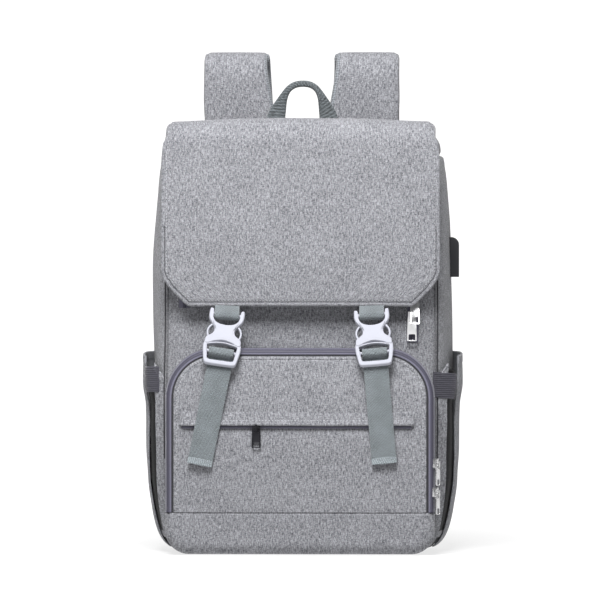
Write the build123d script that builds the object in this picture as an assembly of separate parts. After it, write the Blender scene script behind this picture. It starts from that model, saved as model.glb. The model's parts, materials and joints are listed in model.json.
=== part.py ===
from build123d import *
import os
from math import cos, radians, sin

# A soft flap-top backpack, in millimetres. +Z is up, the front faces -Y and +X is to the
# right of someone looking at the front. The origin is on the ground under the middle of
# the packing body.

# ---- driving dimensions -------------------------------------------------------------
# Packing body: a box with bulging sides and rounded edges.
BODY_HEIGHT = 430.0
FRONT_Y = -72.0                 # outer face of the front panel
BACK_Y = 72.0                   # outer face of the back panel
FRONT_HALF_WIDTH = 138.0
MID_HALF_WIDTH = 150.0
BACK_HALF_WIDTH = 145.0
CORNER_RADIUS = 24.0            # upright corners, seen from above
EDGE_RADIUS = 20.0              # top and bottom edges
WALL = 4.0                      # quilted wall of outer cloth, foam and lining
BASE_HEIGHT = 30.0              # where the base cloth stops on the walls
LID_Z = 402.0                   # bottom edge of the zipped top panel
LID_BACK_Y = 43.5               # back edge of the zipped top panel
LID_GAP = 0.6                   # free gap between the top panel and the walls
BACK_EDGE_Y = 44.0              # front edge of the back panel's top strip

# Flap: one sheet over the top and down the front.
FLAP_HALF_WIDTH = 140.0
FLAP_THICK = 3.5
FLAP_TOP_Z = 437.0
FLAP_FRONT_Y = -89.5
FLAP_BOTTOM_Z = 249.0
FLAP_BEND = 24.0                # outer radius of the bend from top to front
FLAP_TOP_CORNER = 16.0
FLAP_CHAMFER = (27.0, 27.0)     # cut corners at the bottom, across and up
FLAP_HINGE_Y = 46.0
FLAP_HINGE_Z = 431.0

# Front pocket: a box standing forward of the front panel, opened by a zip round its edge.
POCKET_HALF_WIDTH = 135.0
POCKET_TOP_Z = 207.0
POCKET_BOTTOM_Z = 3.0
POCKET_FRONT_Y = -108.0
POCKET_WALL = 3.0
POCKET_TOP_CORNER = 38.0
POCKET_BOTTOM_CORNER = 24.0
POCKET_EDGE = 12.0              # rounding of the front edge, which carries the zip
POCKET_FOLD_Z = 42.0            # the front face folds down about this line
ZIP_BACK_Y = -97.0              # the zip lies between these two planes
ZIP_FRONT_Y = -104.9
FOLD_GAP = 0.4
POCKET_ZIP_TURN = 65.0          # degrees round the edge, from the front, where its sliders sit

# Side pockets: open-topped pouches on both sides.
POUCH_DEPTH = 9.0
POUCH_WALL = 2.0
POUCH_Y = (-60.0, 52.0)
POUCH_Z = (6.0, 203.0)
PLEAT_Y = (-46.0, -28.0)        # dark pleat between the front and rear cloth
TAB_Z = (162.0, 188.0)          # elastic tab that bridges the pleat
TAB_THICK = 1.0

# Main zip: an unequal inverted U on the front panel, under the flap.
MAIN_ZIP_WIDTH = 8.0
MAIN_ZIP_THICK = 1.2
MAIN_ZIP_X = 108.0
MAIN_ZIP_TOP_Z = 396.0
MAIN_ZIP_LEFT_Z = 248.0
MAIN_ZIP_RIGHT_Z = 212.0

# Zip sliders and pulls.
SLIDER_WIDTH, SLIDER_LENGTH, SLIDER_THICK = 8.0, 11.0, 3.4
STAPLE_WIDTH, STAPLE_LENGTH, STAPLE_BAR, STAPLE_GAP = 2.0, 6.4, 1.1, 2.0
PULL_THICK = 1.3
PULL_EYE = (5.6, 4.0)           # hole round the slider's staple
PULL_HEAD = 1.3                 # bar above that hole
PULL_LEAN = 15.0                # degrees that the upper main pull leans out over the lower slider

# Release buckles for 25 mm webbing, in their own plane: u across, v up, w to the back.
BUCKLE_THICK = 7.0
LATCH_THICK = 6.0
BUCKLE_TILT = 24.0              # degrees that the lower end stands forward
BUCKLE_Y, BUCKLE_Z = -108.2, 212.0
BUCKLE_X = {"left": -77.0, "right": 74.0}
BUCKLE_TURN = {"left": 8.0, "right": -5.0}      # degrees in the plane of the front
TAIL_TURN = {"left": 11.5, "right": -5.0}
WEB_WIDTH = 25.0
WEB_THICK = 1.4
TAIL_BOTTOM_Z = 91.0

# Shoulder straps and haul handle.
STRAP_X = 68.0
STRAP_WIDTH = 64.0
STRAP_THICK = 14.0
STRAP_TOP_Z = 510.0
STRAP_ROOT_Y = 86.5             # front face of the strap where it leaves the back
STRAP_INNER_RADIUS = 14.0
HANDLE_Y = 64.0
HANDLE_PIVOT_Z = 434.0
HANDLE_TOP_Z = 477.0

SIDES = {"left": -1, "right": 1}
FAR = 700.0                     # reach of the blocks that cut the forms up


def block(x, y, z):
    """A box between the limits given for each axis."""
    size = [high - low for low, high in (x, y, z)]
    middle = [(high + low) / 2 for low, high in (x, y, z)]
    return Pos(*middle) * Box(*size)


def body_form(inset):
    """The packing body as a solid, drawn in by inset from its outer face."""
    front, back = FRONT_Y + inset, BACK_Y - inset
    middle_y = -4.0
    f, m, b = (w - inset for w in (FRONT_HALF_WIDTH, MID_HALF_WIDTH, BACK_HALF_WIDTH))
    outline = [
        Line((-f, front), (f, front)),
        ThreePointArc((f, front), (m, middle_y), (b, back)),
        Line((b, back), (-b, back)),
        ThreePointArc((-b, back), (-m, middle_y), (-f, front)),
    ]
    face = make_face(outline)
    face = fillet(face.vertices(), CORNER_RADIUS - inset)
    form = extrude(face, BODY_HEIGHT - 2 * inset)
    ends = form.edges().group_by(Axis.Z)[0] + form.edges().group_by(Axis.Z)[-1]
    return Pos(0, 0, inset) * fillet(ends, EDGE_RADIUS - inset)


def pocket_form(inset):
    """The front pocket as a solid, drawn in by inset, reaching back into the body."""
    half, top, low = POCKET_HALF_WIDTH - inset, POCKET_TOP_Z - inset, POCKET_BOTTOM_Z + inset
    outline = Polyline((-half, low), (half, low), (half, top), (-half, top), close=True)
    face = make_face(outline)
    upper = face.vertices().group_by(Axis.Y)[-1]
    face = fillet(upper, POCKET_TOP_CORNER - inset)
    lower = face.vertices().group_by(Axis.Y)[0]
    face = fillet(lower, POCKET_BOTTOM_CORNER - inset)
    depth = -40.0 - (POCKET_FRONT_Y + inset)
    form = extrude(Plane.XZ * face, depth)
    form = Pos(0, -40.0, 0) * form
    front = form.edges().group_by(Axis.Y)[0]
    return fillet(front, POCKET_EDGE - inset)


def strip(points, thickness):
    """A flat band of even thickness along a path of straight runs, as a face."""
    return make_face(offset(Polyline(*points), thickness / 2, side=Side.BOTH).edges())


def side_profile(points, x_low, x_high):
    """A solid from an outline given as (y, z) points, between two x limits."""
    face = make_face(Polyline(*points, close=True))
    return Pos(x_low, 0, 0) * extrude(Plane.YZ * face, x_high - x_low)


# ---- packing body -------------------------------------------------------------------
def walls():
    """The five fixed panels of the packing body, cut from one shell."""
    shell = BODY - body_form(WALL)
    upper = block((-FAR, FAR), (-FAR, BACK_EDGE_Y), (LID_Z - LID_GAP, FAR))
    shell = shell - upper
    base = block((-FAR, FAR), (-FAR, FAR), (-1, BASE_HEIGHT))
    back = block((-FAR, FAR), (BACK_EDGE_Y, FAR), (BASE_HEIGHT, FAR))
    seam = FRONT_HALF_WIDTH - CORNER_RADIUS
    front = block((-seam, seam), (-FAR, 0), (BASE_HEIGHT, FAR))
    left = block((-FAR, -seam), (-FAR, BACK_EDGE_Y), (BASE_HEIGHT, FAR))
    return {
        "base_panel": shell & base,
        "back_panel": shell & back,
        "front_panel": shell & front,
        "side_panel_left": shell & left,
        "side_panel_right": shell & mirror(left, Plane.YZ),
    }


def top_panel():
    """The zipped top panel with its turned-down rim."""
    shell = BODY - body_form(WALL)
    return shell & block((-FAR, FAR), (-FAR, LID_BACK_Y), (LID_Z, FAR))


def back_padding():
    """Foam pad over the back panel, with a channel down its middle."""
    pad = block((-118, 118), (BACK_Y, BACK_Y + 12), (94, 392))
    pad = fillet(pad.edges().filter_by(Axis.Y), 30)
    pad = fillet(pad.edges().group_by(Axis.Y)[-1], 6)
    return pad - block((-16, 16), (BACK_Y + 6, FAR), (0, FAR))


def main_zip():
    """Zip tape on the front panel: up the right side, across, and part way down the left."""
    outer, inner = MAIN_ZIP_X + MAIN_ZIP_WIDTH / 2, MAIN_ZIP_X - MAIN_ZIP_WIDTH / 2
    middle_z = (MAIN_ZIP_RIGHT_Z + MAIN_ZIP_TOP_Z) / 2
    height = MAIN_ZIP_TOP_Z - MAIN_ZIP_RIGHT_Z
    bend = 26.0
    band = RectangleRounded(2 * outer, height, bend + MAIN_ZIP_WIDTH)
    band -= RectangleRounded(2 * inner, height - 2 * MAIN_ZIP_WIDTH, bend)
    band = extrude(Plane.XZ * Pos(0, middle_z) * band, MAIN_ZIP_THICK)
    band = Pos(0, FRONT_Y, 0) * band
    foot = MAIN_ZIP_RIGHT_Z + bend + MAIN_ZIP_WIDTH
    keep = block((0, FAR), (-FAR, 0), (foot, FAR)) + block((-FAR, 0), (-FAR, 0), (MAIN_ZIP_LEFT_Z, FAR))
    run = block((inner, outer), (FRONT_Y - MAIN_ZIP_THICK, FRONT_Y), (MAIN_ZIP_RIGHT_Z, foot))
    return (band & keep) + run


# ---- flap ---------------------------------------------------------------------------
def flap():
    """The flap: a bent sheet with rounded top corners and cut bottom corners."""
    def bent(thickness):
        top, front = FLAP_TOP_Z - thickness, FLAP_FRONT_Y + thickness
        slab = block((-FAR, FAR), (front, FLAP_HINGE_Y), (0, top))
        edge = slab.edges().filter_by(Axis.X).group_by(Axis.Z)[-1].sort_by(Axis.Y)[0]
        return fillet(edge, FLAP_BEND - thickness)

    sheet = bent(0) - bent(FLAP_THICK)
    across, up = FLAP_CHAMFER
    half = FLAP_HALF_WIDTH
    outline = make_face(Polyline(
        (-half, FLAP_TOP_Z), (-half, FLAP_BOTTOM_Z + up), (-half + across, FLAP_BOTTOM_Z),
        (half - across, FLAP_BOTTOM_Z), (half, FLAP_BOTTOM_Z + up), (half, FLAP_TOP_Z), close=True,
    ))
    outline = fillet(outline.vertices().group_by(Axis.Y)[-1], FLAP_TOP_CORNER)
    cutter = Pos(0, FAR, 0) * extrude(Plane.XZ * outline, 2 * FAR)
    return sheet & cutter


# ---- front pocket -------------------------------------------------------------------
def pocket_pieces():
    """Pocket box, its folding front face and the zip between them."""
    shell = pocket_form(0) - pocket_form(POCKET_WALL) - BODY
    back = block((-FAR, FAR), (ZIP_BACK_Y, FAR), (-1, FAR))
    foot = block((-FAR, FAR), (-FAR, ZIP_BACK_Y), (-1, POCKET_FOLD_Z))
    ring = block((-FAR, FAR), (ZIP_FRONT_Y, ZIP_BACK_Y), (POCKET_FOLD_Z, FAR))
    face = block((-FAR, FAR), (-FAR, ZIP_FRONT_Y - FOLD_GAP), (POCKET_FOLD_Z + FOLD_GAP, FAR))
    return {
        "pocket_gusset": (shell & back) + (shell & foot),
        "pocket_zip": shell & ring,
        "pocket_face": shell & face,
    }


def welt_zip():
    """Zip of the flat pocket on the front face."""
    return block((-118, 112), (POCKET_FRONT_Y - 1.0, POCKET_FRONT_Y), (126, 131.5))


def welt_lip():
    """Cloth lip that covers the upper half of that zip."""
    return block((-120, 114), (POCKET_FRONT_Y - 1.6, POCKET_FRONT_Y), (134.6, 142))


# ---- side pockets -------------------------------------------------------------------
def pouch(side):
    """One side pocket as front cloth, dark pleat, rear cloth and elastic tab."""
    near, far = POUCH_Y
    low, high = POUCH_Z
    x = (-FAR, 0) if side < 0 else (0, FAR)
    room = block(x, POUCH_Y, POUCH_Z)
    outer = body_form(-POUCH_DEPTH) & room
    hollow = body_form(POUCH_WALL - POUCH_DEPTH)
    hollow = hollow & block(x, (near + POUCH_WALL, far - POUCH_WALL), (low + POUCH_WALL, FAR))
    skin = outer - hollow - BODY
    front = block(x, (near, PLEAT_Y[0]), POUCH_Z)
    pleat = block(x, PLEAT_Y, POUCH_Z)
    rear = block(x, (PLEAT_Y[1], far), POUCH_Z)
    tab = body_form(-POUCH_DEPTH - TAB_THICK) - body_form(-POUCH_DEPTH)
    tab = tab & block(x, (PLEAT_Y[0] - 6, PLEAT_Y[1] + 6), TAB_Z)
    return {"side_pocket_front": skin & front, "side_pocket_pleat": skin & pleat,
            "side_pocket_rear": skin & rear, "side_pocket_tab": tab}


# ---- zip hardware -------------------------------------------------------------------
def slider():
    """A zip slider on the plane y = 0: a waisted plate with a staple over the pull's head."""
    plate = Pos(0, -SLIDER_THICK / 2, 0) * Box(SLIDER_WIDTH, SLIDER_THICK, SLIDER_LENGTH)
    plate = chamfer(plate.edges().filter_by(Axis.Y).group_by(Axis.Z)[0], 2.2)
    face = -SLIDER_THICK
    bar_face = face - STAPLE_GAP
    half = STAPLE_LENGTH / 2
    width = (-STAPLE_WIDTH / 2, STAPLE_WIDTH / 2)
    staple = block(width, (bar_face - STAPLE_BAR, bar_face), (-half, half))
    for sign in (-1, 1):
        low, high = sorted((sign * half, sign * (half - 1.1)))
        staple += block(width, (bar_face, face), (low, high))
    return plate + staple


def pull(length, width, lean):
    """A pull on that staple: a tapering plate with an eye and a window, leaning forward."""
    top = PULL_HEAD / 2
    middle = -SLIDER_THICK - STAPLE_GAP / 2
    eye_width, eye_height = PULL_EYE
    half = width / 2
    outline = make_face(Polyline(
        (-half * 0.84, top), (half * 0.84, top), (half, top - length), (-half, top - length), close=True,
    ))
    outline = fillet(outline.vertices(), 1.4)
    outline -= Pos(0, -PULL_HEAD / 2 - eye_height / 2) * Rectangle(eye_width, eye_height)
    window = RectangleRounded(width * 0.66, length * 0.24, 0.8)
    outline -= Pos(0, top - length * 0.84) * window
    plate = Pos(0, PULL_THICK / 2, 0) * extrude(Plane.XZ * outline, PULL_THICK)
    return Pos(0, middle, 0) * Rot(-lean, 0, 0) * plate


# ---- buckles ------------------------------------------------------------------------
def plate_from(points, thickness):
    """A symmetric plate in the buckle's own plane from its right-hand outline."""
    left = [(-u, v) for u, v in reversed(points)]
    face = make_face(Polyline(*points, *left, close=True))
    return Pos(0, thickness / 2, 0) * extrude(Plane.XZ * face, thickness)


def catch():
    """Upper buckle half: horns, bar, slot, waist and foot."""
    outline = [(17.0, 34.5), (18.8, 31.0), (16.5, 26.0), (10.4, 19.6), (9.8, 17.0),
               (9.8, 6.0), (11.6, 1.5), (11.6, -3.4)]
    plate = plate_from(outline, BUCKLE_THICK)
    arch = Pos(0, BUCKLE_THICK, 0) * extrude(Plane.XZ * make_face([
        ThreePointArc((-12.0, -3.6), (0, 1.0), (12.0, -3.6)), Line((12.0, -3.6), (-12.0, -3.6)),
    ]), 2 * BUCKLE_THICK)
    slot = block((-13.2, 13.2), (-9, 9), (23.0, 29.5))
    plate = plate - arch - slot
    bar_front = block((-13.2, 13.2), (-9, -2.0), (29.4, 36))
    bar_back = block((-13.2, 13.2), (2.0, 9), (29.4, 36))
    return plate - bar_front - bar_back


def latch():
    """Lower buckle half: dome, shoulders and a ladder for the webbing."""
    outline = [(12.6, -4.6), (13.6, -4.6), (13.6, 3.4), (17.4, 3.4), (19.0, -1.0),
               (19.0, -9.0), (16.4, -24.5)]
    plate = plate_from(outline, LATCH_THICK)
    dome = extrude(Plane.XZ * make_face([
        ThreePointArc((-12.6, -4.6), (0, 0.2), (12.6, -4.6)), Line((12.6, -4.6), (-12.6, -4.6)),
    ]), LATCH_THICK)
    plate += Pos(0, LATCH_THICK / 2, 0) * dome
    for low, high in ((-10.0, -7.4), (-16.2, -13.2)):
        plate -= block((-13.1, 13.1), (-9, 9), (low, high))
    return plate


def arm(side):
    """One springy arm of the lower half, bowed outwards."""
    outline = make_face([
        Line((13.9, 3.9), (16.4, 3.9)),
        ThreePointArc((16.4, 3.9), (16.5, 12.0), (13.9, 18.4)),
        Line((13.9, 18.4), (12.0, 18.0)),
        ThreePointArc((12.0, 18.0), (14.2, 11.5), (13.9, 3.9)),
    ])
    limb = Pos(0, LATCH_THICK / 2, 0) * extrude(Plane.XZ * outline, LATCH_THICK)
    return limb if side > 0 else mirror(limb, Plane.YZ)


def web_loop(place, x):
    """Webbing ring round the catch's bar, with its sewn end inside the flap."""
    half = WEB_WIDTH / 2
    ring = Cylinder(3.5 + WEB_THICK, WEB_WIDTH) - Cylinder(3.5, WEB_WIDTH)
    ring = place * Pos(0, 0, 32.0) * Rot(0, 90, 0) * ring
    inside = FLAP_FRONT_Y + FLAP_THICK + 0.3
    middle = place * Pos(0, 0, 32.0)
    y, z = middle.position.Y, middle.position.Z
    reach = 3.0
    tongue = side_profile([
        (inside, 276), (inside + WEB_THICK, 276), (inside + WEB_THICK, 250), (y + reach + 1.2, z + 2.2),
        (y + reach - 0.6, z + 3.2), (inside, 247.6),
    ], x - half, x + half)
    return ring + tongue


def tail(place, side_name):
    """Webbing threaded through the latch's ladder, with its free end hanging."""
    half = WEB_WIDTH / 2
    front, back = -LATCH_THICK / 2 - 0.2, LATCH_THICK / 2 + 0.2
    across = (-half, half)
    band = block(across, (front - WEB_THICK, front), (-15.4, -8.0))
    band += block(across, (front, back), (-9.4, -8.0))
    band += block(across, (front, back + WEB_THICK), (-15.4, -14.0))
    band += block(across, (back, back + WEB_THICK), (-26.5, -14.0))
    band = place * band
    end = (place * Pos(0, back + WEB_THICK / 2, -26.2)).position
    length = (end.Z - TAIL_BOTTOM_Z) / cos(radians(TAIL_TURN[side_name]))
    free = block(across, (-WEB_THICK / 2, WEB_THICK / 2), (-length, 0.0))
    free += block(across, (-1.6, -WEB_THICK / 2), (-length, -length + 9.0))
    return band + Pos(end.X, end.Y, end.Z) * Rot(0, TAIL_TURN[side_name], 0) * free


# ---- carrying parts -----------------------------------------------------------------
def shoulder_strap(side):
    """A padded strap: up from the back, over, and down behind."""
    front, back = STRAP_ROOT_Y - STRAP_THICK, STRAP_ROOT_Y
    centre_y = back + STRAP_INNER_RADIUS
    outer = STRAP_INNER_RADIUS + STRAP_THICK
    centre_z = STRAP_TOP_Z - outer
    rear_in, rear_out = centre_y + STRAP_INNER_RADIUS, centre_y + outer
    bend_z, foot_z, foot_shift = 320.0, 190.0, 22.0
    x = side * STRAP_X
    low, high = x - STRAP_WIDTH / 2, x + STRAP_WIDTH / 2
    root = block((low, high), (front, back), (396, centre_z))
    ring = Cylinder(outer, STRAP_WIDTH) - Cylinder(STRAP_INNER_RADIUS, STRAP_WIDTH)
    ring = Pos(x, centre_y, centre_z) * Rot(0, 90, 0) * ring
    ring = ring & block((low, high), (-FAR, FAR), (centre_z, FAR * 2))
    rear = side_profile([
        (rear_in, centre_z), (rear_out, centre_z), (rear_out, bend_z),
        (rear_out - foot_shift, foot_z), (rear_in - foot_shift, foot_z), (rear_in, bend_z),
    ], low, high)
    return root + ring + rear


def strap_foot_parts(side):
    """Ladder buckle, lower webbing and sewn anchor of one shoulder strap."""
    x = side * STRAP_X
    ladder = Pos(x, 101.5, 172) * (Box(36, 5, 30) - Pos(0, 0, 6) * Box(27, 9, 5) - Pos(0, 0, -4) * Box(27, 9, 5))
    top_y, low_y = 101.5, 79.0
    web = side_profile([
        (top_y - 4.4, 180), (top_y - 3.0, 180), (top_y - 3.0, 150), (low_y + 0.8, 62),
        (low_y - 0.6, 62), (top_y - 4.4, 150),
    ], x - WEB_WIDTH / 2, x + WEB_WIDTH / 2)
    anchor = side_profile([(BACK_Y, 34), (low_y + 1.4, 34), (low_y + 1.4, 61.6), (BACK_Y, 61.6)], x - 24, x + 24)
    neck = block((x - 13, x + 13), (98.4, 104.6), (186.6, 190))
    return {"strap_ladder": ladder + neck, "strap_web": web, "strap_anchor": anchor}


def haul_handle():
    """Webbing grab loop: two splayed legs under a flat crown."""
    half_crown = 21.0
    crown = block((-half_crown, half_crown), (HANDLE_Y - 6, HANDLE_Y + 6), (HANDLE_TOP_Z - 7, HANDLE_TOP_Z))
    crown = fillet(crown.edges().filter_by(Axis.Y), 3)
    foot_z = HANDLE_PIVOT_Z - 1
    leg = make_face(Polyline(
        (20, foot_z), (38, foot_z), (24, HANDLE_TOP_Z - 2), (13, HANDLE_TOP_Z - 6), close=True,
    ))
    leg = Pos(0, HANDLE_Y + 1.5, 0) * extrude(Plane.XZ * leg, 3.0)
    return crown + leg + mirror(leg, Plane.YZ)


def handle_patch():
    """Cloth patch that the grab loop is sewn to."""
    return block((-42, 42), (HANDLE_Y - 7, BACK_Y - 4), (BODY_HEIGHT - 6, BODY_HEIGHT + 1.6)) - BODY


# ---- charging port ------------------------------------------------------------------
PORT_Y = -4.0
PORT_Z = (278.5, 319.0)


def port_housing():
    """Hooded rubber housing on the right wall, hollow from below."""
    low, high = PORT_Z
    hood = block((140, MID_HALF_WIDTH + 9.5), (PORT_Y - 13, PORT_Y + 13), PORT_Z)
    hood = fillet(hood.edges().filter_by(Axis.Y).group_by(Axis.Z)[-1].sort_by(Axis.X)[-1], 8)
    hollow = block((MID_HALF_WIDTH + 1.4, MID_HALF_WIDTH + 7.6), (PORT_Y - 7.6, PORT_Y + 7.6), (low - 1, low + 19))
    return hood - hollow - BODY


def port_shell():
    """Metal shell of the socket, open downwards."""
    low = PORT_Z[0] + 0.8
    outer = block((MID_HALF_WIDTH + 1.6, MID_HALF_WIDTH + 7.4), (PORT_Y - 7.4, PORT_Y + 7.4), (low, low + 17))
    inner = block((MID_HALF_WIDTH + 2.0, MID_HALF_WIDTH + 7.0), (PORT_Y - 6.9, PORT_Y + 6.9), (low - 1, low + 15))
    return outer - inner


def port_tongue():
    """Contact tongue inside the shell."""
    low = PORT_Z[0] + 2.5
    return block((MID_HALF_WIDTH + 5.0, MID_HALF_WIDTH + 6.8), (PORT_Y - 5.6, PORT_Y + 5.6), (low, low + 13.2))


BODY = body_form(0)


def all_parts():
    """Every node by name, in place."""
    nodes = {}
    nodes.update(walls())
    nodes["top_panel"] = top_panel()
    nodes["back_padding"] = back_padding()
    nodes["main_zip"] = main_zip()
    nodes["flap"] = flap()
    nodes.update(pocket_pieces())
    nodes["welt_zip"] = welt_zip()
    nodes["welt_lip"] = welt_lip()
    nodes["port_housing"] = port_housing()
    nodes["port_shell"] = port_shell()
    nodes["port_tongue"] = port_tongue()
    nodes["haul_handle"] = haul_handle()
    nodes["handle_patch"] = handle_patch()

    main_face = FRONT_Y - MAIN_ZIP_THICK
    zip_x = POCKET_HALF_WIDTH - POCKET_EDGE * (1 - sin(radians(POCKET_ZIP_TURN)))
    zip_y = POCKET_FRONT_Y + POCKET_EDGE * (1 - cos(radians(POCKET_ZIP_TURN)))
    on_edge = Rot(0, 0, POCKET_ZIP_TURN)
    sliders = {
        "main_upper": (Pos(MAIN_ZIP_X + 2.0, main_face, 256), 27.0, 10.0, PULL_LEAN),
        "main_lower": (Pos(MAIN_ZIP_X - 1.0, main_face, 238), 25.0, 10.0, 0),
        "pocket_upper": (Pos(zip_x, zip_y, 91) * on_edge, 22.0, 8.0, 0),
        "pocket_lower": (Pos(zip_x, zip_y, 62) * on_edge, 22.0, 8.0, 0),
        "welt": (Pos(-43.5, POCKET_FRONT_Y - 1.0, 128.7), 21.0, 9.5, 0),
    }
    for name, (place, length, width, lean) in sliders.items():
        nodes[f"{name}_slider"] = place * slider()
        nodes[f"{name}_pull"] = place * pull(length, width, lean)

    for name, side in SIDES.items():
        for piece, solid in pouch(side).items():
            nodes[f"{piece}_{name}"] = solid
        place = Pos(BUCKLE_X[name], BUCKLE_Y, BUCKLE_Z) * Rot(0, BUCKLE_TURN[name], 0) * Rot(-BUCKLE_TILT, 0, 0)
        loop_x = (place * Pos(0, 0, 32.0)).position.X
        nodes[f"flap_loop_{name}"] = web_loop(place, loop_x)
        nodes[f"buckle_catch_{name}"] = place * catch()
        nodes[f"buckle_latch_{name}"] = place * latch()
        nodes[f"latch_arm_{name}_l"] = place * arm(-1)
        nodes[f"latch_arm_{name}_r"] = place * arm(1)
        nodes[f"strap_tail_{name}"] = tail(place, name)
        nodes[f"shoulder_strap_{name}"] = shoulder_strap(side)
        for piece, solid in strap_foot_parts(side).items():
            nodes[f"{piece}_{name}"] = solid
    return nodes


os.makedirs("parts", exist_ok=True)
for node, solid in all_parts().items():
    export_step(solid, f"parts/{node}.step")
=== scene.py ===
import json
import math

import bmesh
import bpy
import numpy as np
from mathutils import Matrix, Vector


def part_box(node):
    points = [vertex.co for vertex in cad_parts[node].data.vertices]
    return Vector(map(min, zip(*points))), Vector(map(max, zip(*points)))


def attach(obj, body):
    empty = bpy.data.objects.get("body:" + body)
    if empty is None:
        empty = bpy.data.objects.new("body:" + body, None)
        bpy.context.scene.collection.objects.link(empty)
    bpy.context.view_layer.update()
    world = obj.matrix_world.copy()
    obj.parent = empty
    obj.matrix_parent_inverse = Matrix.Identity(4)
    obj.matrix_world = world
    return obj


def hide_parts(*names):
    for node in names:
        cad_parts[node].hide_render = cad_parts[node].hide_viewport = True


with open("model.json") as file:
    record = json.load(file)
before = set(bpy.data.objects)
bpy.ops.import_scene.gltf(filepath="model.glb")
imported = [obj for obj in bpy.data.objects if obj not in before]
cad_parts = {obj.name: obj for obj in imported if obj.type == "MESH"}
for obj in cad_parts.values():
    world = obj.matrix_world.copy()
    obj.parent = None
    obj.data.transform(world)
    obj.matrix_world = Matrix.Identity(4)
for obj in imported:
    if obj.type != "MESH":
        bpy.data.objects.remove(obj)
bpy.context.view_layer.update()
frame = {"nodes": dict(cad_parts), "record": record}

bl_info = {
    "name": "Flap-top backpack",
    "version": (1, 0, 0),
    "blender": (4, 5, 0),
    "location": "View3D > Sidebar > Backpack",
    "description": "Builds the cloth, webbing, zips and buckles of a flap-top backpack round its CAD frame",
    "category": "Object",
}

MM = 0.001                      # every length below is in millimetres and is scaled by this at the end
TAU = 2 * math.pi
SIDES = {"left": -1.0, "right": 1.0}


def node_box(node):
    """Lowest and highest corner of a CAD node, in millimetres."""
    low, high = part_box(node)
    return np.array(low) / MM, np.array(high) / MM


# ---------------------------------------------------------------------------------------------
# Settings
# ---------------------------------------------------------------------------------------------
def colour_setting(name, description, value):
    """A colour property with its default."""
    return bpy.props.FloatVectorProperty(
        name=name, description=description, default=value, subtype="COLOR", min=0.0, max=1.0)


def length_setting(name, description, value):
    """A length property in millimetres with its default."""
    return bpy.props.FloatProperty(name=name, description=description, default=value, min=0.0)


class BagColours(bpy.types.PropertyGroup):
    """Colours of the bag's cloth, webbing and plastic."""
    cloth_light: colour_setting("Cloth, light yarn", "Colour of the pale yarn", (0.325, 0.329, 0.35))
    cloth_dark: colour_setting("Cloth, dark yarn", "Colour of the dark yarn", (0.062, 0.063, 0.073))
    webbing: colour_setting("Webbing", "Colour of the ribbed webbing", (0.162, 0.183, 0.195))
    zip_tape: colour_setting("Zip tape", "Colour of the zip tape", (0.098, 0.095, 0.134))
    elastic: colour_setting("Elastic", "Colour of the elastic tabs", (0.07, 0.068, 0.09))
    # Dark stretch cloth of the side pockets' pleat, made near black so that it also paints the shade deep in the gap
    # between the pouch cloths.
    pleat: colour_setting("Pleat", "Colour of the dark stretch cloth", (0.012, 0.012, 0.014))
    mesh: colour_setting("Spacer mesh", "Colour of the strap and back mesh", (0.16, 0.17, 0.185))
    lining: colour_setting("Lining", "Colour of the inner cloth", (0.16, 0.165, 0.18))
    plastic: colour_setting("Buckle plastic", "Colour of the buckles", (0.36, 0.367, 0.415))


class BagSizes(bpy.types.PropertyGroup):
    """Sizes of the cloth work, in millimetres."""
    flap_thick: length_setting("Flap thickness", "Two layers of cloth with foam between", 3.4)
    web_width: length_setting("Webbing width", "Width of the buckle webbing", 25.0)
    web_thick: length_setting("Webbing thickness", "Thickness of the buckle webbing", 1.4)
    yarn: length_setting("Yarn pitch", "Distance between two yarns of the weave", 0.95)
    stitch: length_setting("Stitch pitch", "Distance between two stitches", 3.2)


def colours():
    """The colours that the user sets."""
    return bpy.context.scene.bag_colours


def sizes():
    """The sizes that the user sets, in millimetres."""
    return bpy.context.scene.bag_sizes


# ---------------------------------------------------------------------------------------------
# Surfaces
# ---------------------------------------------------------------------------------------------
def lengths_along(points):
    """Running length along a row of points, starting at 0."""
    steps = np.linalg.norm(np.diff(points, axis=0), axis=1)
    return np.concatenate([[0.0], np.cumsum(steps)])


def resample(points, count):
    """The same line with count points evenly spaced along it."""
    run = lengths_along(points)
    at = np.linspace(0, run[-1], count)
    return np.stack([np.interp(at, run, points[:, k]) for k in range(points.shape[1])], axis=1)


def smoothstep(low, high, x):
    """0 below low, 1 above high, and a cubic ease between."""
    t = np.clip((x - low) / (high - low), 0, 1)
    return t * t * (3 - 2 * t)


def ripple(a, b, seed, waves=7, long=140.0, short=34.0):
    """A smooth wandering height of about -1 to 1: a sum of sines of a and b with seeded directions."""
    draw = np.random.default_rng(seed)
    total = np.zeros(np.broadcast(a, b).shape)
    for k in range(waves):
        wave = long * (short / long) ** (k / max(waves - 1, 1))
        turn, phase = draw.uniform(0, TAU, 2)
        total = total + wave / long * np.sin(TAU * (a * math.cos(turn) + b * math.sin(turn)) / wave + phase)
    return total / 2.2


def surface_normals(points):
    """Unit normals of a grid of points: the cross product of its two directions of travel."""
    across = np.gradient(points, axis=0)
    along = np.gradient(points, axis=1)
    normal = np.cross(across, along)
    size = np.linalg.norm(normal, axis=2, keepdims=True)
    return normal / np.maximum(size, 1e-9)


def on_grid(*parts):
    """Points or UVs on a grid from one array for each of their coordinates, spread to a common shape."""
    return np.stack(np.broadcast_arrays(*parts), axis=-1)


def facing_front(count):
    """The direction out of the bag's front, once for each of count points."""
    return np.tile([0.0, -1.0, 0.0], (count, 1))


def grid_faces(rows, columns, start=0, flip=False):
    """Quads of a grid of rows by columns, numbered row by row, as an array of four corners."""
    index = np.arange(rows * columns).reshape(rows, columns) + start
    quads = np.stack([index[:-1, :-1], index[1:, :-1], index[1:, 1:], index[:-1, 1:]], axis=-1).reshape(-1, 4)
    return quads[:, ::-1] if flip else quads


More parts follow.
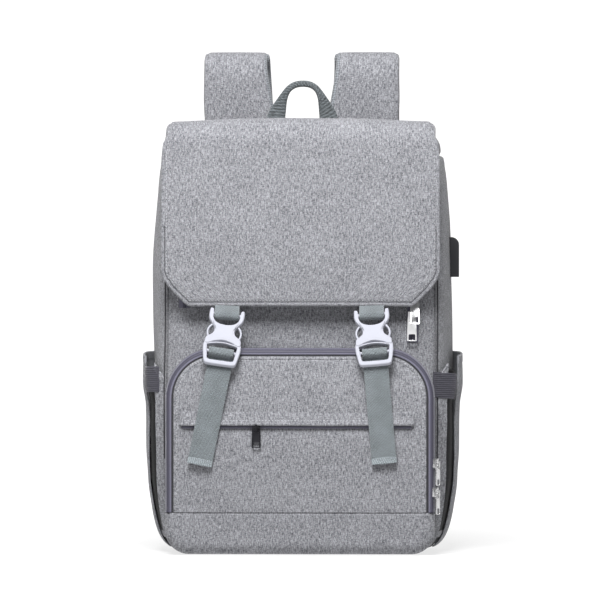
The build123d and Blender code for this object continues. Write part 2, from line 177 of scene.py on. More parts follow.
def make_mesh(name, points, faces, uv, materials, face_slots=None):
    """A mesh object from points in millimetres, quads, one UV in metres for each point, and materials."""
    mesh = bpy.data.meshes.new(name)
    mesh.from_pydata((np.asarray(points).reshape(-1, 3) * MM).tolist(), [], np.asarray(faces).tolist())
    layer = mesh.uv_layers.new(name="Cloth")
    corner = np.zeros(len(mesh.loops), np.int32)
    mesh.loops.foreach_get("vertex_index", corner)
    layer.data.foreach_set("uv", (np.asarray(uv).reshape(-1, 2)[corner] * MM).astype(np.float32).ravel())
    for material in materials:
        mesh.materials.append(material)
    if face_slots is not None:
        mesh.polygons.foreach_set("material_index", np.asarray(face_slots, np.int32))
    mesh.polygons.foreach_set("use_smooth", np.ones(len(mesh.polygons), bool))
    mesh.update()
    piece = bpy.data.objects.new(name, mesh)
    bpy.context.scene.collection.objects.link(piece)
    return piece


def tidy_form(piece, distance=0.02):
    """Joins points that lie within distance, so that seams and poles are closed, and turns the faces
    outwards where the signed volume, the sum of corner products, comes out negative."""
    work = bmesh.new()
    work.from_mesh(piece.data)
    bmesh.ops.remove_doubles(work, verts=work.verts, dist=distance * MM)
    bmesh.ops.dissolve_degenerate(work, dist=1e-7, edges=work.edges)
    if work.calc_volume(signed=True) < 0:
        bmesh.ops.reverse_faces(work, faces=work.faces)
    work.to_mesh(piece.data)
    work.free()
    return piece


def form(name, grid, materials, columns_slots=None, uv=None):
    """A closed piece from one grid whose borders meet each other or shrink to a point."""
    rows, columns = grid.shape[:2]
    slots = None if columns_slots is None else np.tile(columns_slots, rows - 1)
    piece = make_mesh(name, grid, grid_faces(rows, columns), grid_uv(grid) if uv is None else uv, materials,
                      slots)
    return tidy_form(piece)


def skins(name, outer, inner, materials, uv=None):
    """A closed piece between two grids, an outer and an inner skin, that are drawn together at their border."""
    rows, columns = outer.shape[:2]
    border = np.ones((rows, columns), bool)
    border[1:-1, 1:-1] = False
    middle = (outer + inner) / 2
    outer, inner = outer.copy(), inner.copy()
    outer[border] = inner[border] = middle[border]
    uv = grid_uv(outer) if uv is None else uv
    count = rows * columns
    faces = np.vstack([grid_faces(rows, columns), grid_faces(rows, columns, count, flip=True)])
    slots = np.repeat([0, len(materials) - 1], (rows - 1) * (columns - 1))
    piece = make_mesh(name, np.concatenate([outer.reshape(-1, 3), inner.reshape(-1, 3)]), faces,
                      np.concatenate([uv.reshape(-1, 2)] * 2), materials, slots)
    return tidy_form(piece)


def edge_distance(grid):
    """Distance of each point of a grid to the nearest of its four borders, measured along the grid."""
    across = np.linalg.norm(np.diff(grid, axis=0), axis=2)
    along = np.linalg.norm(np.diff(grid, axis=1), axis=2)
    low = np.concatenate([np.zeros((1, grid.shape[1])), np.cumsum(across, axis=0)])
    left = np.concatenate([np.zeros((grid.shape[0], 1)), np.cumsum(along, axis=1)], axis=1)
    return np.minimum(np.minimum(low, low[-1:] - low), np.minimum(left, left[:, -1:] - left))


def rounded_edge(edge, radius):
    """0 at the edge, rising as a quarter circle to 1 at one radius from it."""
    return np.sqrt(np.clip(1 - (1 - np.clip(edge / radius, 0, 1)) ** 2, 0, 1))


def sheet_piece(name, middle, thickness, materials, edge=None, rounding=None, uv=None, out=None):
    """A closed soft sheet: the middle surface moved out and in along its normals by half the thickness,
    times a round profile of the distance to the sheet's edge, so that both skins meet in the edge."""
    normal = surface_normals(middle)
    if out is not None and (normal.reshape(-1, 3) @ np.asarray(out, float)).sum() < 0:
        normal = -normal
    edge = edge_distance(middle) if edge is None else edge
    thickness = np.broadcast_to(thickness, middle.shape[:2])
    half = (thickness / 2 * rounded_edge(edge, rounding or float(thickness.max()) / 2))[..., None]
    uv = grid_uv(middle) if uv is None else uv
    return skins(name, middle + normal * half, middle - normal * half, materials, uv)


def grid_uv(grid):
    """UV in millimetres: the running length of the middle column and row of a grid."""
    rows, columns = grid.shape[:2]
    u = lengths_along(grid[:, columns // 2])[:, None] * np.ones((1, columns))
    v = lengths_along(grid[rows // 2])[None, :] * np.ones((rows, 1))
    return np.stack([u, v], axis=2)


def unit(vectors):
    """Each row scaled to length 1."""
    return vectors / np.maximum(np.linalg.norm(vectors, axis=-1, keepdims=True), 1e-9)


def carry(name, path, across, up, section, materials, slots=None, size=None, round_end=0.6):
    """A closed section carried along a path: point = path + across * section x + up * section y, each times
    its size at that place. At both ends the section shrinks to a point over round_end millimetres."""
    along = unit(np.gradient(path, axis=0))
    shrink, reach = np.array([0.0, 0.62, 0.9]), np.array([1.0, 0.72, 0.3])
    head = path[0] - along[0] * (reach * round_end)[:, None]
    tail = path[-1] + along[-1] * (reach[::-1] * round_end)[:, None]
    path = np.vstack([head, path, tail])
    grow = lambda rows: np.vstack([np.repeat(rows[:1], 3, axis=0), rows, np.repeat(rows[-1:], 3, axis=0)])
    across, up = grow(np.broadcast_to(across, along.shape)), grow(np.broadcast_to(up, along.shape))
    size = np.ones((len(along), 2)) if size is None else np.asarray(size, float)
    size = grow(size)
    size[:3] *= shrink[:, None]
    size[-3:] *= shrink[::-1, None]
    ring = np.vstack([section, section[:1]])
    grid = (path[:, None] + across[:, None] * (ring[None, :, 0] * size[:, :1])[..., None]
            + up[:, None] * (ring[None, :, 1] * size[:, 1:])[..., None])
    uv = on_grid(lengths_along(ring)[None, :], lengths_along(path)[:, None])
    return form(name, grid, materials, slots, uv)


def tube(name, path, radius, material, sides=8):
    """A round tube along a path: a circle carried in the plane across the path."""
    along = unit(np.gradient(path, axis=0))
    mean = unit(np.cross(along[0], along[len(along) // 2]) + np.array([0.013, 0.7, 0.011]))
    across = unit(np.cross(along, mean))
    up = np.cross(along, across)
    turn = np.linspace(0, TAU, sides, endpoint=False)
    section = radius * np.stack([np.cos(turn), np.sin(turn)], axis=1)
    return carry(name, path, across, up, section, [material], round_end=radius)


def band_section(width, thick, steps=5, crown=0.0):
    """Outline of a flat band with rounded edges: straight top and bottom, half circles at the sides."""
    rise = thick / 2
    half = width / 2 - rise
    turn = np.linspace(-math.pi / 2, math.pi / 2, steps)
    right = np.stack([half + rise * np.cos(turn), rise * np.sin(turn)], 1)
    flat = np.linspace(half, -half, 12)[1:-1]
    top = np.stack([flat, rise + crown * (1 - (flat / half) ** 2)], 1)
    return np.vstack([right, top, -right, -top])


def spread(count, dense=0.7, low=-1.0, high=1.0):
    """Numbers from low to high, closer together near both ends."""
    t = np.linspace(-1, 1, count)
    t = t * (1 - dense) + dense * np.sin(t * math.pi / 2)
    return low + (high - low) * (t + 1) / 2


def stitches(name, path, normal, material, width=0.7, fill=0.6):
    """A row of stitches: a six-sided spindle for each pitch along the path, half sunk in the cloth."""
    pitch = sizes().stitch
    run = lengths_along(path)
    count = max(int(run[-1] / pitch), 1)
    at = (np.arange(count) + 0.5) * run[-1] / count
    centre = np.stack([np.interp(at, run, path[:, k]) for k in range(3)], axis=1)
    ahead = np.stack([np.interp(at + 0.5, run, path[:, k]) for k in range(3)], axis=1)
    behind = np.stack([np.interp(at - 0.5, run, path[:, k]) for k in range(3)], axis=1)
    along = unit(ahead - behind)
    out = unit(np.stack([np.interp(at, run, normal[:, k]) for k in range(3)], axis=1))
    across = unit(np.cross(along, out))
    reach = pitch * fill / 2
    turn = np.linspace(0, TAU, 6, endpoint=False)
    rings = []
    for step, size in ((-1.0, 0.0), (-0.75, 0.8), (0.75, 0.8), (1.0, 0.0)):
        round_points = (across[:, None] * np.cos(turn)[None, :, None] + out[:, None] * np.sin(turn)[None, :,
                None] * 0.7)
        rings.append(centre[:, None] + along[:, None] * reach * step + round_points * width / 2 * size)
    points = np.stack(rings, axis=1).reshape(-1, 3)
    base = np.arange(4 * 6).reshape(4, 6)
    nxt = np.roll(base, -1, axis=1)
    one = np.stack([base[:-1], base[1:], nxt[1:], nxt[:-1]], axis=-1).reshape(-1, 4)
    faces = (one[None] + (np.arange(count) * 24)[:, None, None]).reshape(-1, 4)
    piece = make_mesh(name, points, faces, np.stack([points[:, 0] + points[:, 1], points[:, 2]], axis=1),
                      [material])
    return tidy_form(piece, 0.001)


# ---------------------------------------------------------------------------------------------
# Materials
# ---------------------------------------------------------------------------------------------
class Nodes:
    """Short calls for a material's node tree."""

    def __init__(self, name):
        self.material = bpy.data.materials.new(name)
        self.material.use_nodes = True
        self.tree = self.material.node_tree
        self.shader = self.tree.nodes["Principled BSDF"]

    def add(self, kind, **values):
        """A new node with its properties set."""
        node = self.tree.nodes.new(kind)
        for key, value in values.items():
            setattr(node, key, value)
        return node

    def link(self, start, end):
        """Joins an output to an input, and gives the output back."""
        self.tree.links.new(start, end)
        return start

    def feed(self, socket, value):
        """Gives a socket a number, a colour or what another node puts out."""
        if isinstance(value, (int, float)):
            socket.default_value = value
        elif isinstance(value, tuple):
            socket.default_value = (*value, 1.0)
        else:
            self.link(value, socket)

    def math(self, operation, a, b=None, c=None, clamp=False):
        """A sum of up to three values."""
        node = self.add("ShaderNodeMath", operation=operation, use_clamp=clamp)
        for socket, value in zip(node.inputs, (a, b, c)):
            if value is not None:
                self.feed(socket, value)
        return node.outputs[0]

    def mix(self, factor, a, b):
        """The colour a turned to b by factor."""
        node = self.add("ShaderNodeMix", data_type="RGBA", blend_type="MIX", clamp_factor=True)
        for socket, value in ((node.inputs[0], factor), (node.inputs[6], a), (node.inputs[7], b)):
            self.feed(socket, value)
        return node.outputs[2]

    def cloth_axes(self):
        """Place on the cloth in metres, along and across, from the piece's own UV map."""
        uv = self.add("ShaderNodeUVMap", uv_map="Cloth")
        parts = self.add("ShaderNodeSeparateXYZ")
        self.link(uv.outputs[0], parts.inputs[0])
        return parts.outputs[0], parts.outputs[1]

    def combine(self, x, y, z=0.0):
        """A vector of three values."""
        node = self.add("ShaderNodeCombineXYZ")
        for socket, value in zip(node.inputs, (x, y, z)):
            self.feed(socket, value)
        return node.outputs[0]

    def noise(self, vector, scale, detail=2.0, rough=0.5):
        """Soft noise between 0 and 1 over a vector."""
        node = self.add("ShaderNodeTexNoise", noise_dimensions="3D")
        node.inputs["Scale"].default_value = scale
        node.inputs["Detail"].default_value = detail
        node.inputs["Roughness"].default_value = rough
        self.link(vector, node.inputs["Vector"])
        return node.outputs["Fac"]

    def bump(self, height, strength, distance):
        """Small relief in the surface, distance in metres."""
        node = self.add("ShaderNodeBump")
        node.inputs["Strength"].default_value = strength
        node.inputs["Distance"].default_value = distance
        self.link(height, node.inputs["Height"])
        self.link(node.outputs[0], self.shader.inputs["Normal"])

    def finish(self, colour, roughness, **sockets):
        """Sets the shader, and gives the finished material."""
        self.feed(self.shader.inputs["Base Color"], colour)
        self.feed(self.shader.inputs["Roughness"], roughness)
        for name, value in sockets.items():
            self.shader.inputs[name.replace("_", " ")].default_value = value
        return self.material


def heather_material(name, light, dark, slub=1.0):
    """Heathered weave: noise drawn out along warp and weft, slubs, flecks and slow clouds, summed to one tone."""
    nodes = Nodes(name)
    pitch = sizes().yarn * MM
    x, y = nodes.cloth_axes()
    sway = nodes.noise(nodes.combine(x, y), 420.0, 2.0)
    x = nodes.math("ADD", x, nodes.math("MULTIPLY", nodes.math("SUBTRACT", sway, 0.5), 0.0009))

    def yarns(along_x, along_y, detail=2.0, rough=0.55):
        return nodes.noise(nodes.combine(nodes.math("MULTIPLY", x, along_x),
                nodes.math("MULTIPLY", y, along_y)), 1.0, detail, rough)

    warp, weft = yarns(1250.0, 300.0), yarns(330.0, 1100.0)
    slubs, flecks, cloud = yarns(620.0, 120.0, 1.0), yarns(2000.0, 1300.0, 1.0), yarns(34.0, 26.0)
    tone = nodes.math("MULTIPLY_ADD", nodes.math("SUBTRACT", warp, 0.5), 1.9, 0.47)
    for part, weight in ((weft, 1.3), (slubs, 0.9 * slub), (flecks, 1.3), (cloud, 0.25)):
        tone = nodes.math("MULTIPLY_ADD", nodes.math("SUBTRACT", part, 0.5), weight, tone)
    turns = math.pi / pitch
    weave = nodes.math("MULTIPLY", nodes.math("SINE", nodes.math("MULTIPLY", x, turns)),
                       nodes.math("SINE", nodes.math("MULTIPLY", y, turns)))
    over = nodes.math("ABSOLUTE", weave)
    tone = nodes.math("MULTIPLY_ADD", nodes.math("SUBTRACT", over, 0.4), 0.30, tone, clamp=True)
    colour = nodes.mix(tone, dark, light)
    height = nodes.math("MULTIPLY_ADD", nodes.math("ADD", warp, weft), 1.4, over)
    nodes.bump(height, 0.6, 0.0003)
    return nodes.finish(colour, 0.92, Sheen_Weight=0.18, Sheen_Roughness=0.5, Specular_IOR_Level=0.25)


def webbing_material(name, colour, rib=1.5):
    """Ribbed webbing: ribs along its length with a fine twill across."""
    nodes = Nodes(name)
    x, y = nodes.cloth_axes()
    rib_wave = nodes.math("SINE", nodes.math("MULTIPLY", nodes.math("ADD", x, nodes.math("MULTIPLY", y, 0.45)),
            TAU / (rib * MM)))
    fine = nodes.math("SINE", nodes.math("MULTIPLY", y, TAU / (1.1 * MM)))
    flecks = nodes.noise(nodes.combine(nodes.math("MULTIPLY", x, 2.0), y), 900.0, 2.0)
    blotch = nodes.noise(nodes.combine(x, y), 60.0, 2.0)
    tone = nodes.math("ADD", nodes.math("MULTIPLY", rib_wave, 0.17),
                      nodes.math("MULTIPLY_ADD", nodes.math("SUBTRACT", flecks, 0.5), 2.2, 0.45))
    tone = nodes.math("MULTIPLY_ADD", nodes.math("SUBTRACT", blotch, 0.5), 0.5, tone)
    tone = nodes.math("ADD", tone, nodes.math("MULTIPLY", fine, 0.10), clamp=True)
    pale = tuple(min(1.0, c * 1.7) for c in colour)
    deep = tuple(c * 0.4 for c in colour)
    mixed = nodes.mix(tone, deep, pale)
    nodes.bump(nodes.math("ADD", rib_wave, nodes.math("MULTIPLY", fine, 0.6)), 0.7, 0.0004)
    return nodes.finish(mixed, 0.7, Sheen_Weight=0.25, Sheen_Roughness=0.45, Specular_IOR_Level=0.35)


def tape_material(name, colour):
    """Herringbone zip tape with a soft lustre."""
    nodes = Nodes(name)
    x, y = nodes.cloth_axes()
    slant = nodes.math("ADD", y, nodes.math("ABSOLUTE",
            nodes.math("SUBTRACT", nodes.math("PINGPONG", x, 0.003), 0.0015)))
    wave = nodes.math("SINE", nodes.math("MULTIPLY", slant, TAU / (0.9 * MM)))
    flecks = nodes.noise(nodes.combine(x, y), 1200.0, 2.0)
    tone = nodes.math("ADD", nodes.math("MULTIPLY", wave, 0.2), nodes.math("MULTIPLY", flecks, 1.0), clamp=True)
    mixed = nodes.mix(tone, tuple(c * 0.72 for c in colour), tuple(min(1.0, c * 1.35) for c in colour))
    nodes.bump(wave, 0.4, 0.00015)
    return nodes.finish(mixed, 0.6, Sheen_Weight=0.2, Specular_IOR_Level=0.4)


def mesh_material(name, colour):
    """Spacer mesh: a honeycomb of small holes, darkened as painted shade inside them."""
    nodes = Nodes(name)
    x, y = nodes.cloth_axes()
    cells = nodes.add("ShaderNodeTexVoronoi", feature="F1", voronoi_dimensions="2D")
    cells.inputs["Scale"].default_value = 420.0
    cells.inputs["Randomness"].default_value = 0.25
    nodes.link(nodes.combine(x, y), cells.inputs["Vector"])
    hole_shade = nodes.math("SUBTRACT", 1.0, nodes.math("MULTIPLY", cells.outputs["Distance"], 1.7), clamp=True)
    # The holes take a quarter of the colour, painted shade inside the cells; between them the mesh is 1.5 times the
    # colour.
    mixed = nodes.mix(hole_shade, tuple(min(1.0, c * 1.5) for c in colour), tuple(c * 0.25 for c in colour))
    nodes.bump(nodes.math("MULTIPLY", hole_shade, -1.0), 0.7, 0.0005)
    return nodes.finish(mixed, 0.85, Sheen_Weight=0.15, Specular_IOR_Level=0.3)


def plain_cloth_material(name, colour, pitch=0.7, sheen=0.2):
    """Fine plain cloth for linings, pleats and elastic."""
    nodes = Nodes(name)
    x, y = nodes.cloth_axes()
    turns = TAU / (pitch * MM)
    across = nodes.math("SINE", nodes.math("MULTIPLY", y, turns))
    weave = nodes.math("MULTIPLY", nodes.math("SINE", nodes.math("MULTIPLY", x, turns)), across)
    flecks = nodes.noise(nodes.combine(x, y), 500.0, 3.0)
    tone = nodes.math("ADD", nodes.math("MULTIPLY", across, 0.12), flecks, clamp=True)
    mixed = nodes.mix(tone, tuple(c * 0.75 for c in colour), tuple(min(1.0, c * 1.3) for c in colour))
    nodes.bump(nodes.math("ADD", weave, across), 0.4, 0.0002)
    return nodes.finish(mixed, 0.75, Sheen_Weight=sheen, Specular_IOR_Level=0.3)


def plastic_material(name, colour, roughness, bump_strength=0.12):
    """Moulded plastic: a fine even grain and faint flow marks."""
    nodes = Nodes(name)
    place = nodes.add("ShaderNodeTexCoord").outputs["Object"]
    grain = nodes.noise(place, 2600.0, 2.0)
    flow = nodes.noise(place, 90.0, 3.0)
    mixed = nodes.mix(flow, tuple(c * 0.94 for c in colour), tuple(min(1.0, c * 1.03) for c in colour))
    rough = nodes.math("MULTIPLY_ADD", flow, 0.12, roughness - 0.06)
    nodes.bump(grain, bump_strength, 0.00006)
    return nodes.finish(mixed, rough, Specular_IOR_Level=0.25)


def metal_material(name, colour, roughness):
    """Plated metal: slight haze and hairline scratches."""
    nodes = Nodes(name)
    place = nodes.add("ShaderNodeTexCoord").outputs["Object"]
    haze = nodes.noise(place, 300.0, 3.0)
    scratch = nodes.add("ShaderNodeMapping", vector_type="TEXTURE")
    scratch.inputs["Scale"].default_value = (0.12, 1.0, 1.0)
    nodes.link(place, scratch.inputs["Vector"])
    lines = nodes.noise(scratch.outputs[0], 900.0, 4.0, 0.7)
    rough = nodes.math("MULTIPLY_ADD", haze, 0.12, roughness)
    mixed = nodes.mix(haze, tuple(c * 0.88 for c in colour), colour)
    nodes.bump(lines, 0.06, 0.00004)
    return nodes.finish(mixed, rough, Metallic=1.0)


MATERIALS = {}


def material(name):
    """A finished material by name, made once."""
    return MATERIALS[name]


def made_of(*names):
    """The materials of those names, in order."""
    return [material(name) for name in names]


def make_materials():
    """Every finish of the bag."""
    c = colours()
    light, dark = tuple(c.cloth_light), tuple(c.cloth_dark)
    MATERIALS.update({
        "heather": heather_material("heather_cloth", light, dark),
        # The heather cloth darkened by 0.93 for the flap's rolled hem: painted shade on the fold.
        "heather_fold_painted_shade": heather_material("heather_hem_painted_shade", tuple(v * 0.93 for v in light),
                tuple(v * 0.93 for v in dark), 0.6),
        "webbing": webbing_material("webbing", tuple(c.webbing)),
        "webbing_dark": webbing_material("webbing_shaded", tuple(v * 0.55 for v in c.webbing)),
        # The webbing made 1.5 times brighter, with wider ribs, for the tail's folded end: a painted highlight on the
        # fold.
        "webbing_painted_highlight": webbing_material("webbing_fold_painted_highlight", tuple(v * 1.5 for v in c.webbing), 2.2),
        "tape": tape_material("zip_tape", tuple(c.zip_tape)),
        "coil": plastic_material("zip_coil", tuple(v * 0.55 for v in c.zip_tape), 0.5),
        "seam": plain_cloth_material("seam_shadow_cloth", (0.018, 0.018, 0.022)),
        "piping": heather_material("piping_cloth", tuple(v * 0.62 for v in light), tuple(v * 0.5 for v in dark),
                0.4),
        "elastic": plain_cloth_material("ribbed_elastic", tuple(v * 0.6 for v in c.elastic), 1.6),
        # Near-black pleat cloth without sheen: dark cloth that also paints the shade deep in the pleat's gap.
        "pleat": plain_cloth_material("dark_stretch_cloth_gap_shade", tuple(v * 0.4 for v in c.pleat), sheen=0.0),
        "mesh": mesh_material("spacer_mesh", tuple(c.mesh)),
        "lining": plain_cloth_material("lining_cloth", tuple(c.lining)),
        "thread": plain_cloth_material("sewing_thread", (0.46, 0.465, 0.49), 0.4),
        "thread_dark": plain_cloth_material("dark_sewing_thread", (0.10, 0.10, 0.12), 0.4),
        "plastic": plastic_material("pale_buckle_plastic", tuple(c.plastic), 0.66),
        "black_plastic": plastic_material("black_plastic", (0.015, 0.015, 0.017), 0.45),
        "rubber": plastic_material("black_rubber", (0.016, 0.016, 0.019), 0.55, 0.3),
        "nickel": metal_material("nickel_plate", (0.88, 0.88, 0.89), 0.36),
        # A darker copy of the nickel (0.66 against 0.88, roughness 0.22) for the pocket pulls: painted shade.
        "nickel_painted_shade": metal_material("nickel_plate_painted_shade", (0.66, 0.66, 0.67), 0.22),
        "gunmetal": metal_material("gunmetal_plate", (0.035, 0.035, 0.04), 0.3),
    })

# ---------------------------------------------------------------------------------------------
# The bag's own forms
# ---------------------------------------------------------------------------------------------
BODY_HALF_X, BODY_HALF_Y = 150.0, 72.0
BODY_CORNER = 24.0              # radius of the body's upright corners
BODY_LOW, BODY_HIGH = np.array([-BODY_HALF_X, -BODY_HALF_Y, 0.0]), np.array([BODY_HALF_X, BODY_HALF_Y, 430.0])
BODY_LOW[1], BODY_HIGH[1] = node_box("front_panel")[0][1], node_box("back_panel")[1][1]
MIDDLE_Y = -4.0                 # where the packing body is widest
HALF_WIDTHS = (139.0, 152.6, 146.0)     # at the front, at MIDDLE_Y and at the back
RIM_Z = node_box("top_panel")[0][2] - 0.6
HINGE_Y = node_box("top_panel")[1][1]
POCKET_LOW, POCKET_HIGH = node_box("pocket_gusset")
POCKET_HALF = POCKET_HIGH[0]
POCKET_TOP, POCKET_FLOOR = POCKET_HIGH[2], POCKET_LOW[2] - 2.2
POCKET_EDGE = 12.0              # rounding between the pocket's wall and its face
POCKET_TURN = 50.0              # radius of the pocket's upper corners
POCKET_CORNER = 24.0            # radius of its lower corners
FOLD_Z = node_box("pocket_face")[0][2]
WELT_Z = 128.7


def side_pull(z):
    """How far the body keeps its width at a height: it narrows in two soft steps to the ground, and to the top."""
    low = 1 - 0.11 * np.exp(-z / 6) - 0.085 * np.exp(-z / 30)
    return low - 0.13 * np.exp(-(BODY_HIGH[2] - z) / 40)


def plan_half_width(y):
    """Half width over the depth: the parabola through the widths at the front, the middle and the back."""
    a, b, c = BODY_LOW[1], MIDDLE_Y, BODY_HIGH[1]
    f, m, r = HALF_WIDTHS
    return (f * (y - b) * (y - c) / ((a - b) * (a - c)) + m * (y - a) * (y - c) / ((b - a) * (b - c))
            + r * (y - a) * (y - b) / ((c - a) * (c - b)))


def round_rectangle(half_x, low_y, high_y, radius, count):
    """Closed outline from the middle of the high side: straight runs and four quarter circles, evenly divided."""
    turn = np.linspace(0, math.pi / 2, 12)
    corners = []
    for centre_x, centre_y, start in ((half_x - radius, high_y - radius, math.pi / 2),
            (-half_x + radius, high_y - radius, math.pi),
                                      (-half_x + radius, low_y + radius, 1.5 * math.pi),
                                      (half_x - radius, low_y + radius, TAU)):
        angle = start + turn
        corners.append(np.stack([centre_x + radius * np.cos(angle - math.pi / 2),
                centre_y + radius * np.sin(angle - math.pi / 2)], 1))
    start = np.array([[0.0, high_y]])
    line = np.vstack([start, corners[0][::-1], corners[3][::-1], corners[2][::-1], corners[1][::-1], start])
    return resample(line, count)


def body_ring(inset, z, count=260):
    """The body's outline at a height: a round rectangle whose sides follow the plan and the pull, drawn in by inset."""
    radius = max(BODY_CORNER - inset, 4.0)
    ring = round_rectangle(BODY_HALF_X - inset, BODY_LOW[1] + inset, BODY_HIGH[1] - inset, radius, count)
    keep = (plan_half_width(ring[:, 1]) - inset) / (BODY_HALF_X - inset)
    x = ring[:, 0] * keep * side_pull(z)
    return np.stack([x, ring[:, 1], np.full(count, float(z))], axis=1)


def body_side_x(y, z):
    """Half width of the body at a depth and height, with its upright corners rounded."""
    away = np.maximum(np.abs(y) - (BODY_HIGH[1] - BODY_CORNER), 0)
    corner = BODY_CORNER - np.sqrt(np.maximum(BODY_CORNER ** 2 - away ** 2, 0))
    return (plan_half_width(y) - corner) * side_pull(z)


def body_front_y(x, z):
    """Depth of the body's front over its width, rounded at the upright corners, with a slight swell."""
    half = HALF_WIDTHS[0] * side_pull(z)
    away = np.clip(np.abs(x) - (half - BODY_CORNER), 0, BODY_CORNER)
    return BODY_LOW[1] + BODY_CORNER - np.sqrt(BODY_CORNER ** 2 - away ** 2)


def pocket_front_y(z):
    """Depth of the pocket's front over its height: upright at the welt, leaning back above it and a little below it."""
    rise = np.clip((z - 142.0) / 60.0, 0, 1)
    fall = np.clip((126.0 - z) / 84.0, 0, 1)
    return -108.6 + 4.6 * rise ** 1.35 + 2.0 * fall ** 1.3


def pocket_edge_distance(x, z, inset=0.0):
    """Distance inwards from the pocket's outline: a rectangle with rounded corners, larger at the top."""
    middle = (POCKET_TOP + POCKET_FLOOR) / 2
    tall = (POCKET_TOP - POCKET_FLOOR) / 2 - inset
    radius = np.where(z > middle, POCKET_TURN, POCKET_CORNER) - inset
    qx = np.abs(x) - (POCKET_HALF - inset) + radius
    qz = np.abs(z - middle) - tall + radius
    outside = np.sqrt(np.maximum(qx, 0) ** 2 + np.maximum(qz, 0) ** 2)
    return radius - outside - np.minimum(np.maximum(qx, qz), 0)


def pocket_half_width(z, inset):
    """Half width of the pocket's outline at a height, drawn in by inset."""
    middle = (POCKET_TOP + POCKET_FLOOR) / 2
    radius = np.where(z > middle, POCKET_TURN, POCKET_CORNER) - inset
    tall = (POCKET_TOP - POCKET_FLOOR) / 2 - inset
    away = np.clip(np.abs(z - middle) - (tall - radius), 0, radius)
    return POCKET_HALF - inset - radius + np.sqrt(np.maximum(radius ** 2 - away ** 2, 0))


def pocket_outline(count, fold=False):
    """The pocket's outline in x and z with its outward directions: closed from the middle of its floor, or,
    with fold, the open run from the fold on the left over the top to the fold on the right."""
    middle = (POCKET_TOP + POCKET_FLOOR) / 2
    turn = np.linspace(0, math.pi / 2, 14)
    low, high = POCKET_FLOOR + POCKET_CORNER, POCKET_TOP - POCKET_TURN
    arc = lambda cx, cz, r, start: np.stack([cx + r * np.cos(start - turn), cz + r * np.sin(start - turn)], 1)
    line = np.vstack([
        [[0.0, POCKET_FLOOR]], arc(-POCKET_HALF + POCKET_CORNER, low, POCKET_CORNER, 1.5 * math.pi),
                      arc(-POCKET_HALF + POCKET_TURN, high, POCKET_TURN, math.pi),
        arc(POCKET_HALF - POCKET_TURN, high, POCKET_TURN, math.pi / 2),
                      arc(POCKET_HALF - POCKET_CORNER, low, POCKET_CORNER, 0.0), [[0.0, POCKET_FLOOR]]])
    if fold:
        left = np.array([[-POCKET_HALF, FOLD_Z + 0.2]])
        line = np.vstack([left, line[15:-15], left * [-1, 1]])
    line = resample(line, count)
    ahead = np.gradient(line, axis=0)
    if not fold:
        ahead[0] = ahead[-1] = line[1] - line[-2]
    out = unit(np.stack([-ahead[:, 1], ahead[:, 0]], axis=1))
    return line, out


def pocket_band(line, out, angle, lift):
    """Points on the pocket's rounded edge: angle 0 is on the wall and 90 degrees on the face, lift is off its skin."""
    rise = POCKET_EDGE + lift
    inset = POCKET_EDGE - rise * np.cos(angle)
    x = line[:, None, 0] - out[:, None, 0] * inset[None, :]
    z = line[:, None, 1] - out[:, None, 1] * inset[None, :]
    y = pocket_front_y(line[:, None, 1]) + POCKET_EDGE - (rise * np.sin(angle))[None, :]
    return on_grid(x, y, z)


def closed_ends(grid):
    """The same grid with its first and last row repeated as a point, which closes both ends."""
    first = np.repeat(grid[:1].mean(axis=1, keepdims=True), grid.shape[1], axis=1)
    last = np.repeat(grid[-1:].mean(axis=1, keepdims=True), grid.shape[1], axis=1)
    return np.concatenate([first, grid, last])


def coil_lift(run, across, pitch, height):
    """Height of a zip's coil: a half circle over -1 to 1, notched along its run once for each tooth."""
    dome = np.sqrt(np.clip(1 - across ** 2, 0, 1))
    return height * dome * (0.62 + 0.38 * np.abs(np.sin(math.pi * run / pitch)))


# ---------------------------------------------------------------------------------------------
# Operators, one for each piece or group of like pieces
# ---------------------------------------------------------------------------------------------
class BAG_OT_finishes(bpy.types.Operator):
    """Make the cloth, webbing, plastic and metal finishes."""
    bl_idname = "bag.finishes"
    bl_label = "Finishes"

    def execute(self, context):
        make_materials()
        for node, object_ in cad_objects().items():
            name = CAD_FINISH.get(node)
            if name:
                dress(object_, name)
        return {"FINISHED"}


CAD_FINISH = {"port_shell": "nickel", "port_tongue": "black_plastic"}


def cad_objects():
    """CAD node objects by node name."""
    return {node: bpy.data.objects[node] for node in frame["nodes"] if node in bpy.data.objects}


def dress(piece, name):
    """Gives a CAD object one finish, in place of what it came with."""
    piece.data.materials.clear()
    piece.data.materials.append(material(name))


